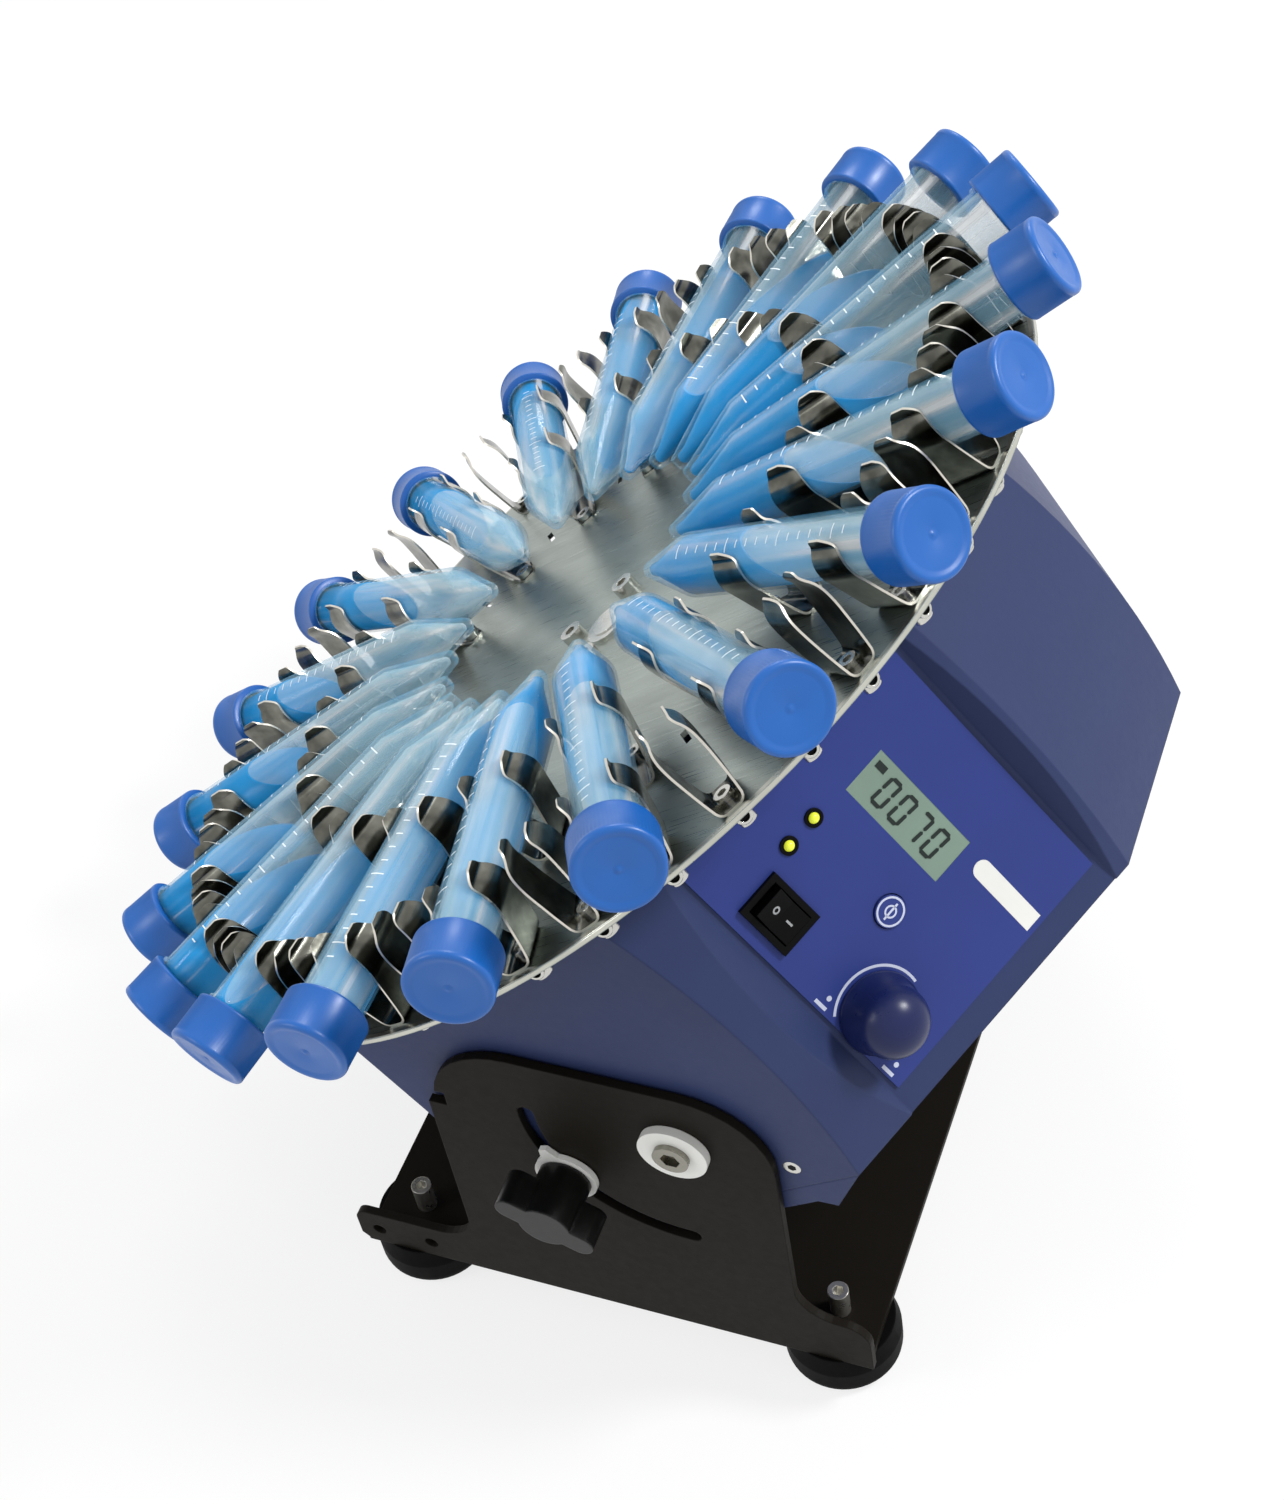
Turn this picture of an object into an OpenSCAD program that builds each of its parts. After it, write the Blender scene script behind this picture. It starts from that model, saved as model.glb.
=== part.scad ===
// Tube rotator: a tilting drive head on a sheet-metal stand turns a disc of twenty
// clipped 15 ml tubes. Origin: on the bench, under the middle of the stand. +Z is up,
// the operator stands on the -Y side, and the disc faces up and towards -X.

/* [Stand] */
// Length of the base plate, left to right
stand_length = 156; // [150:1:190]
// Clearance between the housing and each cheek
cheek_gap = 0.7; // [0.4:0.1:2]
// Thickness of the stand's sheet steel
sheet = 2.5; // [2:0.1:2.6]
// Height of the rubber feet
foot_height = 16; // [12:1:24]
// Diameter of the rubber feet
foot_dia = 34; // [26:1:38]
// Height of the tilt axis above the bench
pivot_height = 107.5; // [105:0.5:125]
// Radius of the curved clamp slot about the tilt axis
slot_radius = 42.3; // [40:0.1:44]

/* [Head] */
// Tilt of the disc from level
head_tilt = 36.3; // [0:0.1:55]
// Half width of the housing
body_half_width = 118.3; // [114:0.1:122]
// Depth of the housing shell along the drive shaft
body_depth = 100.5; // [98:0.5:104]
// Height of the arch of the housing's skin, front to back
arch_rise = 5.8; // [3:0.1:6.5]
// Wall thickness of the housing shell
wall = 3; // [2.5:0.1:3.2]
// Slope of the two housing shoulders
shoulder_slope = 34.7; // [33:0.1:36]

/* [Rotor] */
// Diameter of the steel disc
disc_dia = 287.4; // [284:0.2:290]
// Thickness of the steel disc
disc_sheet = 1.5; // [1.2:0.1:1.6]
// Height of the tube axes above the disc
tube_lift = 18.1; // [17.5:0.1:20]
// Diameter of a 15 ml tube
tube_dia = 16.8; // [16:0.1:17]
// Length of a tube with its cap on
tube_length = 119.5; // [115:0.5:121]
// Distance from the shaft axis to a tube's tip, as a share of the disc's radius
tip_share = 0.306; // [0.302:0.002:0.32]
// Diameter of a tube cap
cap_dia = 22; // [20:0.5:23]
// Width of a spring clip along the tube
clip_width = 14; // [10:0.5:15]

/* [Controls] */
// Diameter of the speed knob
knob_dia = 22; // [18:0.5:23]
// Height of the speed knob above the panel
knob_height = 18.5; // [15:0.5:21]
// Visible width of the display
display_w = 36; // [30:0.5:38]
// Visible height of the display
display_h = 13.2; // [10:0.2:15]

/* [Hidden] */
$fn = 48;
FINE = 96;
EPS = 0.01;

BASE_NODES = ["bracket", "feet", "foot_studs", "pivot_bolts", "pivot_washers"];
HEAD_NODES = ["housing_shell", "front_plate", "rear_cover", "housing_screws",
    "bearing_housing", "shaft_bearings", "gear_motor", "control_board", "control_panel",
    "display_module", "lamp_bezels", "indicator_lamps", "power_switch_body", "speed_control",
    "button_switch", "power_inlet", "clamp_stud", "pointer_washer"];
CONTROL_NODES = ["clamp_knob", "power_rocker", "mode_button", "speed_knob", "knob_shaft"];
ROTOR_NODES = ["motor_shaft", "drive_coupling", "rotor_shaft", "rotor_hub", "hub_bolts",
    "rotor_disc", "inner_clips", "outer_clips", "small_clips", "clip_screws", "clip_nuts",
    "tube_caps"];
tube_count = 20;
TUBE_NODES = [for (i = [1:tube_count]) str("tube_", i)];

// Colours
BLACK_COAT = [0.16, 0.15, 0.14];
RUBBER = [0.08, 0.08, 0.08];
STEEL = [0.78, 0.78, 0.76];
SPRING_STEEL = [0.45, 0.45, 0.44];
HOUSING_BLUE = [0.24, 0.29, 0.47];
PANEL_BLUE = [0.27, 0.29, 0.59];
CAP_BLUE = [0.18, 0.37, 0.75];
TUBE_BLUE = [0.6, 0.82, 0.93, 0.5];
BOARD_GREEN = [0.1, 0.4, 0.2];
WHITE_PLASTIC = [0.93, 0.93, 0.92];

// Stand: the cheeks stand in the X-Z plane, outlined from the bench up
cheek_top = pivot_height + 22;
base_bottom = foot_height;
base_top = foot_height + sheet;
pivot_x = 31.3;
cheek_left = -40.5;
cheek_right = 58.5;
stud_inset_x = 13;
stud_inset_y = 14.5;
foot_stud_dia = 6;
foot_stud_rise = 10;
pivot_dia = 8;
slot_width = 4.8;
slot_sweep = 90;
tab_hole_dia = 4.2;
tab_hole_z = base_bottom + 7;

// Head frame: X runs up the disc, Y across, Z along the shaft; the shaft axis is X = Y = 0
// and the tilt axis crosses at Z = 0
pivot_rise = 8;
tube_plane = 100;
disc_top = tube_plane - tube_lift;
disc_back = disc_top - disc_sheet;
shell_front = 73.5;
shell_back = shell_front - body_depth;
shell_bottom = -63.2;
shell_top = 109;
shoulder_reach = body_half_width - 10.8;
panel_drop = 0.5;
mid_z = (shell_front + shell_back) / 2;
arch_radius = (pow(body_depth / 2, 2) + pow(arch_rise, 2)) / (2 * arch_rise);
clamp_x = pivot_rise - slot_radius;
stud_dia = 4;
fit = 0.06;
cheek_inner = body_half_width + cheek_gap;
stand_half = cheek_inner + sheet;

// Rear cover
tray_depth = 6.5;
tray_half = body_half_width - 14.3;
tray_lip = 9.6;
lip_top = 48.8;
lip_edge = 33.6;
lip_root = 29;

// Points on an arc, for outlines
function arc(cx, cy, r, a0, a1, n = 8) =
    [for (i = [0:n]) let (a = a0 + (a1 - a0) * i / n) [cx + r * cos(a), cy + r * sin(a)]];

// Outline of the housing across the shaft, drawn in by some inset
function shoulder_foot(inset, grow = 0) =
    (shoulder_reach + grow - inset - sin(shoulder_slope) * (body_half_width - inset))
    / cos(shoulder_slope);
function shoulder_head(inset, grow = 0) =
    (shoulder_reach + grow - inset - cos(shoulder_slope) * (shell_top + grow - inset))
    / sin(shoulder_slope);
function section(inset, grow = 0) = [
    [shell_bottom + inset, -body_half_width + inset],
    [shoulder_foot(inset, grow), -body_half_width + inset],
    [shell_top + grow - inset, -shoulder_head(inset, grow)],
    [shell_top + grow - inset, shoulder_head(inset, grow)],
    [shoulder_foot(inset, grow), body_half_width - inset],
    [shell_bottom + inset, body_half_width - inset]];

// Frames
module in_head() {
    translate([pivot_x, 0, pivot_height])
        rotate([0, -head_tilt, 0])
            translate([-pivot_rise, 0, 0])
                children();
}

// Panel frame: X runs to the operator's right, Y up the panel, Z out of it
panel_z = 22;
module on_panel() {
    in_head() panel_place() children();
}
module panel_place() {
    rotate([0, 0, -shoulder_slope])
        translate([shoulder_reach, 0, panel_z])
            rotate([0, 90, 0])
                children();
}

// Rotor frame: the head frame turned to the first tube
rotor_phase = -1.7;
pitch = 360 / tube_count;
module in_rotor() {
    in_head() rotate([0, 0, rotor_phase]) children();
}
module at_radius(r, angle, z) {
    rotate([0, 0, angle]) translate([r, 0, z]) children();
}

// A cylinder that runs along Y between two places
module y_rod(r, y0, y1, x = 0, z = 0) {
    translate([x, y0, z]) rotate([-90, 0, 0]) cylinder(r = r, h = y1 - y0);
}

// ---------------------------------------------------------------- stand
tab_left = -stand_length / 2 - 2;
tab_right = stand_length / 2 + 1;
tab_height = 15;
tab_hole_x = [tab_left + 6.7, tab_left + 23.7];
heel_height = 20;
crown_r = 25;
shoulder_step = 2.5;
notch_top = 22;
notch_bottom = 27.5;
notch_depth = 3;
function cheek_outline() = concat(
    [[tab_left, base_bottom + 3], [tab_left + 3, base_bottom], [tab_right, base_bottom]],
    arc(tab_right - 8, base_bottom + heel_height - 8, 8, 0, 90),
    arc(cheek_right + 12, base_bottom + heel_height + 12, 12, 270, 180),
    arc(cheek_right - crown_r, cheek_top - crown_r, crown_r, 0, 90),
    arc(cheek_left + crown_r + shoulder_step, cheek_top - crown_r, crown_r, 90,
        180 - asin(1 - notch_top / crown_r)),
    [[cheek_left + shoulder_step + notch_depth, cheek_top - notch_top],
     [cheek_left + shoulder_step + notch_depth, cheek_top - notch_bottom],
     [cheek_left, cheek_top - notch_bottom]],
    arc(cheek_left - 12, base_bottom + tab_height + 12, 12, 0, -90),
    arc(tab_left + 4, base_bottom + tab_height - 4, 4, 90, 180));

module clamp_slot_2d() {
    half = slot_width / 2;
    end = 180 + slot_sweep;
    translate([pivot_x, pivot_height]) polygon(concat(
        arc(0, 0, slot_radius + half, 180, end, 24),
        arc(slot_radius * cos(end), slot_radius * sin(end), half, end + 30, end + 150, 4),
        arc(0, 0, slot_radius - half, end, 180, 24),
        arc(-slot_radius, 0, half, 30, 150, 4)));
}

module cheek(y0, slotted) {
    translate([0, y0 + sheet, 0]) rotate([90, 0, 0]) linear_extrude(sheet) difference() {
        polygon(cheek_outline());
        translate([pivot_x, pivot_height]) circle(d = pivot_dia);
        for (x = tab_hole_x) translate([x, tab_hole_z]) circle(d = tab_hole_dia);
        if (slotted) clamp_slot_2d();
    }
}

module at_feet() {
    for (x = [-1, 1], y = [-1, 1])
        translate([x * (stand_length / 2 - stud_inset_x), y * (stand_half - stud_inset_y), 0])
            children();
}

module bracket() {
    color(BLACK_COAT) difference() {
        union() {
            translate([-stand_length / 2, -stand_half, base_bottom])
                cube([stand_length, 2 * stand_half, sheet]);
            cheek(-stand_half, true);
            cheek(cheek_inner, false);
        }
        at_feet() cylinder(d = foot_stud_dia, h = base_top + 1);
    }
}

foot_round = 4;
foot_stud_depth = 10;
module feet() {
    crown = foot_dia / 2;
    color(RUBBER) at_feet() difference() {
        rotate_extrude($fn = FINE)
            polygon(concat([[0, 0], [crown - foot_round, 0]],
                arc(crown - foot_round, foot_round, foot_round, 270, 360, 5),
                [[crown, foot_height - 6], [crown - 1.5, foot_height], [0, foot_height]]));
        translate([0, 0, foot_height - foot_stud_depth])
            cylinder(d = foot_stud_dia, h = foot_stud_depth + 1);
    }
}

module foot_studs() {
    top = base_top + foot_stud_rise;
    color(STEEL) at_feet() difference() {
        translate([0, 0, foot_height - foot_stud_depth])
            cylinder(d = foot_stud_dia, h = top - foot_height + foot_stud_depth);
        translate([0, 0, top - 3]) cylinder(d = 3.4, h = 3 + EPS, $fn = 6);
    }
}

// The tilt axis: a shouldered bolt on each side, under a white washer
washer_dia = 19.4;
washer_sheet = 2.5;
bolt_head_dia = 10;
bolt_reach = 12;
module both_sides() {
    children();
    mirror([0, 1, 0]) children();
}
module pivot_bolts() {
    color(STEEL) both_sides() difference() {
        union() {
            y_rod(pivot_dia / 2, -stand_half - washer_sheet, -body_half_width + bolt_reach,
                pivot_x, pivot_height);
            y_rod(bolt_head_dia / 2, -stand_half - washer_sheet - 1.6,
                -stand_half - washer_sheet, pivot_x, pivot_height);
        }
        translate([pivot_x, -stand_half - washer_sheet - 2, pivot_height])
            rotate([-90, 0, 0]) cylinder(d = 5.6, h = 3, $fn = 6);
    }
}
module pivot_washers() {
    color(WHITE_PLASTIC) both_sides() difference() {
        y_rod(washer_dia / 2, -stand_half - washer_sheet, -stand_half, pivot_x, pivot_height);
        y_rod(pivot_dia / 2, -stand_half - washer_sheet - 1, -stand_half + 1,
            pivot_x, pivot_height);
    }
}

// ---------------------------------------------------------------- head: housing
module arch_round(level) {
    translate([level + arch_rise - arch_radius, 0, mid_z])
        rotate([90, 0, 0]) rotate([0, 0, 180])
            cylinder(r = arch_radius, h = 400, center = true, $fn = 180);
}

// The top and both shoulders are arched alike and meet in mitred ridges
module shell_solid() {
    intersection() {
        translate([0, 0, shell_back])
            linear_extrude(body_depth) polygon(section(0, arch_rise + 1));
        arch_round(shell_top);
        rotate([0, 0, -shoulder_slope]) arch_round(shoulder_reach);
        rotate([0, 0, shoulder_slope]) arch_round(shoulder_reach);
    }
}

// The panel lies in a flat-floored recess with drafted side walls
recess_low = -48.5;
recess_high = 31.1;
recess_low_draft = 1.25;
recess_high_draft = 0.75;
recess_open = 12;
module panel_recess() {
    panel_place() rotate([90, 0, 90]) linear_extrude(160, center = true)
        polygon([[recess_low, -panel_drop], [recess_high, -panel_drop],
            [recess_high + recess_open * recess_high_draft, recess_open - panel_drop],
            [recess_low - recess_open * recess_low_draft, recess_open - panel_drop]]);
}

// The printed panel, and the places on it
label_low = -46.5;
label_high = 29.3;
label_left = panel_z + 6.5 - shell_front;
label_right = panel_z - 8.5 - shell_back;
label_sheet = 0.8;
label_face = -panel_drop + label_sheet;
display_at = [-8.7, 3.6];
lamps_at = [[-28.2, -13.5], [-28.2, -22.6]];
switch_at = [-18, -36.2];
button_at = [4.9, -16.4];
knob_at = [label_right - 18.8, -36.3];
switch_size = [17.4, 13];
switch_body = [15.4, 11.6];
lamp_dia = 3;
button_dia = 8.6;
button_gap = 0.3;
bushing_dia = 7;

module panel_cut(z0, z1, grow = 0) {
    translate([0, 0, z0]) linear_extrude(z1 - z0) {
        translate(display_at) square([display_w + grow, display_h + grow], center = true);
        for (p = lamps_at) translate(p) circle(d = lamp_dia);
        translate(switch_at) square(switch_body, center = true);
        translate(button_at) circle(d = button_dia + 2 * button_gap);
        translate(knob_at) circle(d = bushing_dia);
    }
}

// The circuit board behind the panel stands on four posts
plate_sheet = 3;
board_left = label_left + 3;
board_right = panel_z - shell_back - plate_sheet - 4;
board_low = -46;
board_high = 28;
board_face = -20;
post_inset = 4;
module board_post_set() {
    for (x = [board_left + post_inset, board_right - post_inset],
            y = [board_low + post_inset, board_high - post_inset])
        translate([x, y, board_face]) cylinder(d = 6, h = -board_face - wall + 1);
}

pivot_boss_r = 13;
clamp_boss_r = 9;
boss_reach = 15;
lug_height = 16;
lug_r = 5;
plate_lug_y = body_half_width - wall - 4;
plate_lugs_x = [-50, 34];
plate_screw_length = 12;
side_screw_rise = 7.7;
screw_z = shell_back + side_screw_rise;
side_screws_x = [31.9, -50];

module housing_shell() {
    color(HOUSING_BLUE) in_head() difference() {
        union() {
            difference() {
                shell_solid();
                translate([0, 0, shell_back - 1])
                    linear_extrude(body_depth + 2) polygon(section(wall));
            }
            both_sides() {
                y_rod(pivot_boss_r, -body_half_width + 1, -body_half_width + boss_reach,
                    pivot_rise, 0);
                y_rod(clamp_boss_r, -body_half_width + 1, -body_half_width + boss_reach,
                    clamp_x, 0);
                for (x = plate_lugs_x)
                    translate([x, plate_lug_y, shell_front - plate_sheet - lug_height])
                        cylinder(r = lug_r, h = lug_height);
            }
            panel_place() board_post_set();
        }
        panel_recess();
        panel_place() panel_cut(-wall - 1, 2);
        both_sides() {
            y_rod(pivot_dia / 2 + fit, -body_half_width - 1, -body_half_width + boss_reach + 1,
                pivot_rise, 0);
            for (x = side_screws_x) side_screw(x, EPS);
            for (x = plate_lugs_x)
                translate([x, plate_lug_y, shell_front - plate_screw_length])
                    cylinder(d = 3, h = plate_screw_length);
        }
        y_rod(stud_dia / 2, -body_half_width - 1, -body_half_width + boss_reach + 1, clamp_x, 0);
    }
}

module front_plate() {
    color(HOUSING_BLUE) in_head() difference() {
        translate([0, 0, shell_front - plate_sheet])
            linear_extrude(plate_sheet) polygon(section(wall));
        translate([0, 0, shell_front - plate_sheet - 1]) cylinder(d = 13, h = plate_sheet + 2);
        plate_screw_set();
    }
}

// The rear cover closes the shell and stands proud of it below the shoulder, with a lip
module rear_cover() {
    color(HOUSING_BLUE) in_head() difference() {
        union() {
            translate([0, 0, shell_back]) linear_extrude(plate_sheet) polygon(section(wall));
            translate([0, body_half_width, 0]) rotate([90, 0, 0])
                linear_extrude(2 * body_half_width)
                    polygon([[shell_bottom, shell_back], [shell_bottom, shell_back - tray_depth],
                        [lip_root, shell_back - tray_depth], [lip_edge, shell_back - tray_lip],
                        [lip_top, shell_back]]);
            both_sides() for (x = side_screws_x)
                translate([x - 6, -body_half_width + wall, shell_back])
                    cube([12, 8, 14]);
        }
        translate([shell_bottom + wall, -tray_half, shell_back - tray_depth + 2.5])
            cube([lip_root - shell_bottom - 2 * wall, 2 * tray_half, 20]);
        both_sides() for (x = side_screws_x) side_screw(x, 0);
        translate([inlet_at[0], inlet_at[1], shell_back - 10]) cylinder(d = inlet_dia, h = 12);
    }
}

// Countersunk screws through the shell's sides into the rear cover
side_screw_reach = 9;
module side_screw(x, proud) {
    y_rod(1.5, -body_half_width, -body_half_width + side_screw_reach, x, screw_z);
    translate([x, -body_half_width - proud, screw_z]) rotate([-90, 0, 0])
        cylinder(d1 = 4.9 + proud * (4.9 - 3) / 1.6, d2 = 3, h = 1.6 + proud);
}
bearing_bolt_r = 17.5;
module plate_screw(len) {
    translate([0, 0, shell_front - len]) cylinder(d = 3, h = len);
    translate([0, 0, shell_front - 1.7]) cylinder(d1 = 3, d2 = 5.6, h = 1.7);
}
module plate_screw_set() {
    for (a = [45:90:315]) at_radius(bearing_bolt_r, a, 0) plate_screw(10);
    both_sides() for (x = plate_lugs_x)
        translate([x, plate_lug_y, 0]) plate_screw(plate_screw_length);
}
module housing_screws() {
    color(STEEL) in_head() {
        plate_screw_set();
        both_sides() for (x = side_screws_x) side_screw(x, 0);
    }
}

// ---------------------------------------------------------------- head: drive
bearing_dia = 26;
bearing_width = 8;
shaft_dia = 10;
motor_shaft_dia = 6;
bearing_top = shell_front - plate_sheet;
bearing_seats = [bearing_top - bearing_width, bearing_top - 20.5];
drive_rear = 30;
gearbox_depth = 24;
motor_depth = drive_rear - gearbox_depth - shell_back - 7;
module bearing_housing() {
    color(STEEL) in_head() difference() {
        translate([0, 0, drive_rear]) cylinder(d = 44, h = bearing_top - drive_rear, $fn = FINE);
        for (z = bearing_seats)
            translate([0, 0, z]) cylinder(d = bearing_dia, h = bearing_width, $fn = FINE);
        translate([0, 0, drive_rear - 1]) cylinder(d = 23, h = 60, $fn = FINE);
        for (a = [45:90:315]) at_radius(bearing_bolt_r, a, shell_front - 10)
            cylinder(d = 3, h = 10);
    }
}
module shaft_bearings() {
    color(STEEL) in_head() for (z = bearing_seats)
        translate([0, 0, z]) difference() {
            cylinder(d = bearing_dia, h = bearing_width, $fn = FINE);
            translate([0, 0, -1]) cylinder(r = shaft_dia / 2 + fit, h = bearing_width + 2);
        }
}
module gear_motor() {
    gearbox_rear = drive_rear - gearbox_depth;
    color(SPRING_STEEL) in_head() difference() {
        union() {
            translate([0, 0, gearbox_rear]) cylinder(d = 42, h = gearbox_depth, $fn = FINE);
            translate([0, 0, gearbox_rear - motor_depth])
                cylinder(d = 36, h = motor_depth, $fn = FINE);
            translate([0, 0, gearbox_rear - motor_depth - 1.5]) cylinder(d = 12, h = 2);
        }
        translate([0, 0, drive_rear - 12])
            cylinder(r = motor_shaft_dia / 2 + fit, h = 13);
    }
}

// ---------------------------------------------------------------- head: controls
module control_panel() {
    color(PANEL_BLUE) on_panel() difference() {
        translate([label_left, label_low, -panel_drop])
            cube([label_right - label_left, label_high - label_low, label_sheet]);
        panel_cut(-wall, 2);
    }
}

module display_module() {
    color([0.53, 0.63, 0.59]) on_panel() translate([display_at[0], display_at[1], 0]) {
        translate([-display_w / 2, -display_h / 2, -wall])
            cube([display_w, display_h, wall + label_face - 0.1]);
        translate([-display_w / 2 - 4, -display_h / 2 - 4.5, -wall - 6])
            cube([display_w + 8, display_h + 9, 6]);
    }
}

module lamp_bezels() {
    color(RUBBER) on_panel() for (p = lamps_at) translate([p[0], p[1], label_face])
        difference() {
            cylinder(d = 5, h = 0.5);
            translate([0, 0, -1]) cylinder(d = lamp_dia, h = 2);
        }
}
module indicator_lamps() {
    color([0.85, 0.9, 0.2]) on_panel() for (p = lamps_at) translate([p[0], p[1], 0]) {
        translate([0, 0, -wall - 2]) cylinder(d = lamp_dia, h = wall + 2 + label_face);
        translate([0, 0, label_face]) intersection() {
            sphere(d = lamp_dia);
            cylinder(d = lamp_dia, h = lamp_dia);
        }
        translate([0, 0, board_face]) cylinder(d = 2, h = -board_face - wall - 2);
    }
}

switch_frame = 1.3;
switch_depth = 14;
switch_well = [13.8, 9.6];
rocker_size = [12.4, 8.8];
rocker_pin_z = -1.6;
rocker_throw = 7;
module power_switch_body() {
    color([0.06, 0.06, 0.06]) on_panel() translate([switch_at[0], switch_at[1], 0])
        difference() {
            union() {
                translate([-switch_size[0] / 2, -switch_size[1] / 2, label_face])
                    cube([switch_size[0], switch_size[1], switch_frame]);
                translate([-switch_body[0] / 2, -switch_body[1] / 2, -switch_depth])
                    cube([switch_body[0], switch_body[1], switch_depth + label_face]);
            }
            translate([-switch_well[0] / 2, -switch_well[1] / 2, -6])
                cube([switch_well[0], switch_well[1], 12]);
            y_rod(1 + fit, -5.4, 5.4, 0, rocker_pin_z);
        }
}
// The rocker's rest place is switched on: its right end is pressed in
module power_rocker() {
    half = rocker_size[0] / 2;
    color([0.1, 0.1, 0.1]) on_panel() translate([switch_at[0], switch_at[1], rocker_pin_z])
        rotate([0, rocker_throw, 0]) {
            translate([0, rocker_size[1] / 2, 0]) rotate([90, 0, 0])
                linear_extrude(rocker_size[1])
                    polygon([[-half, 4.4], [0, 3.1], [half, 4.4], [half - 1.2, -1.4],
                        [1.5, -2.4], [-1.5, -2.4], [-half + 1.2, -1.4]]);
            y_rod(1, -5.3, 5.3);
        }
}

button_travel = 1;
button_proud = 0.9;
module mode_button() {
    color(PANEL_BLUE) on_panel() translate([button_at[0], button_at[1], 0]) {
        translate([0, 0, -wall - 0.6]) cylinder(d = button_dia, h = wall + 0.6 + button_proud);
        translate([0, 0, -wall - 1.3]) cylinder(d = button_dia + 2.4, h = 1);
        translate([0, 0, -12]) cylinder(d = 3, h = 9);
    }
}
module button_switch() {
    color(RUBBER) on_panel() translate([button_at[0], button_at[1], 0])
        translate([-3, -3, board_face]) cube([6, 6, -board_face - 12 - button_travel - 0.3]);
}

pot_depth = 9;
bushing_rise = 5;
module speed_control() {
    color(STEEL) on_panel() translate([knob_at[0], knob_at[1], 0]) difference() {
        union() {
            translate([0, 0, -wall - pot_depth]) cylinder(d = 16, h = pot_depth);
            translate([0, 0, -wall]) cylinder(d = bushing_dia, h = wall + bushing_rise);
            translate([0, 0, label_face]) cylinder(d = 11, h = 2, $fn = 6);
        }
        translate([0, 0, -wall - pot_depth + 3])
            cylinder(r = 3 + fit, h = pot_depth + wall + bushing_rise);
    }
}
module knob_shaft() {
    color(STEEL) on_panel() translate([knob_at[0], knob_at[1], -wall - pot_depth + 3.5])
        cylinder(d = 6, h = wall + pot_depth - 3.5 + knob_height - 3);
}
module speed_knob() {
    r = knob_dia / 2;
    dome = 6;
    skirt = label_face + 0.5;
    shoulder = knob_height - dome;
    dome_r = (pow(r - 1.4, 2) + pow(dome, 2)) / (2 * dome);
    dome_half = asin((r - 1.4) / dome_r);
    color([0.12, 0.15, 0.34]) on_panel() translate([knob_at[0], knob_at[1], 0]) difference() {
        rotate_extrude($fn = FINE) polygon(concat([[0, skirt], [r, skirt], [r, skirt + 1.6]],
            [[r - 0.7, skirt + 2.2]],
            arc(0, knob_height - dome_r, dome_r, 90 - dome_half, 90, 10)));
        translate([0, 0, skirt - 1]) cylinder(d = 15, h = shoulder - skirt - 2.5);
        translate([0, 0, skirt - 1]) cylinder(d = 6, h = knob_height - 3 - skirt + 1);
    }
}

board_sheet = 1.6;
module control_board() {
    color(BOARD_GREEN) on_panel() {
        translate([board_left, board_low, board_face - board_sheet])
            cube([board_right - board_left, board_high - board_low, board_sheet]);
        translate([board_left + 12, 6, board_face - board_sheet - 3])
            cube([22, 14, 3 + EPS]);
        translate([board_left + 46, -2, board_face - board_sheet - 6])
            cube([14, 12, 6 + EPS]);
        for (x = [8:7:43]) translate([board_left + x, -24, board_face - board_sheet - 8])
            cylinder(d = 5, h = 8 + EPS);
    }
}

inlet_at = [-32, 62];
inlet_dia = 11;
inlet_rear = shell_back - tray_depth;
module power_inlet() {
    color(RUBBER) in_head() translate([inlet_at[0], inlet_at[1], inlet_rear]) {
        difference() {
            union() {
                translate([0, 0, -1.5]) cylinder(d = 14, h = 1.5);
                cylinder(d = inlet_dia, h = 14);
                translate([0, 0, 2.5]) cylinder(d = 15, h = 2.5, $fn = 6);
            }
            translate([0, 0, -2]) cylinder(d = 6.4, h = 11);
        }
        cylinder(d = 2.1, h = 10);
    }
}

// ---------------------------------------------------------------- tilt clamp
washer_face = -stand_half - 0.3;
pointer_sheet = 1.6;
pointer_turn = 12;
clamp_knob_face = washer_face - pointer_sheet - 0.3;
clamp_hub = 16;
clamp_hub_dia = 15;
module clamp_stud() {
    color(STEEL) in_head()
        y_rod(stud_dia / 2, clamp_knob_face - clamp_hub + 4, -body_half_width + boss_reach,
            clamp_x, 0);
}
module pointer_washer() {
    color(WHITE_PLASTIC) in_head() difference() {
        union() {
            y_rod(9, washer_face - pointer_sheet, washer_face, clamp_x, 0);
            translate([clamp_x, washer_face, 0]) rotate([0, pointer_turn, 0])
                rotate([90, 0, 0]) linear_extrude(pointer_sheet)
                    polygon([[3, 8], [1.2, 12.4], [-1.2, 12.4], [-3, 8]]);
        }
        y_rod(stud_dia / 2, washer_face - pointer_sheet - 1, washer_face + 1, clamp_x, 0);
    }
}
// A wing knob: a hub with two round-ended wings
wing_reach = 14.5;
wing_r = 3.8;
wing_depth = 10.5;
wing_turn = 61.8;
module clamp_knob() {
    wing_at = wing_reach - wing_r;
    color(RUBBER) in_head() translate([clamp_x, clamp_knob_face, 0]) rotate([90, 0, 0])
        difference() {
            union() {
                cylinder(d = clamp_hub_dia, h = clamp_hub);
                rotate(-wing_turn) translate([0, 0, clamp_hub - wing_depth]) {
                    translate([-wing_at, -wing_r, 0]) cube([2 * wing_at, 2 * wing_r, wing_depth]);
                    for (x = [-wing_at, wing_at]) translate([x, 0, 0])
                        cylinder(r = wing_r, h = wing_depth);
                }
            }
            translate([0, 0, -1]) cylinder(r = stud_dia / 2 + fit, h = clamp_hub - 2);
        }
}

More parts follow.
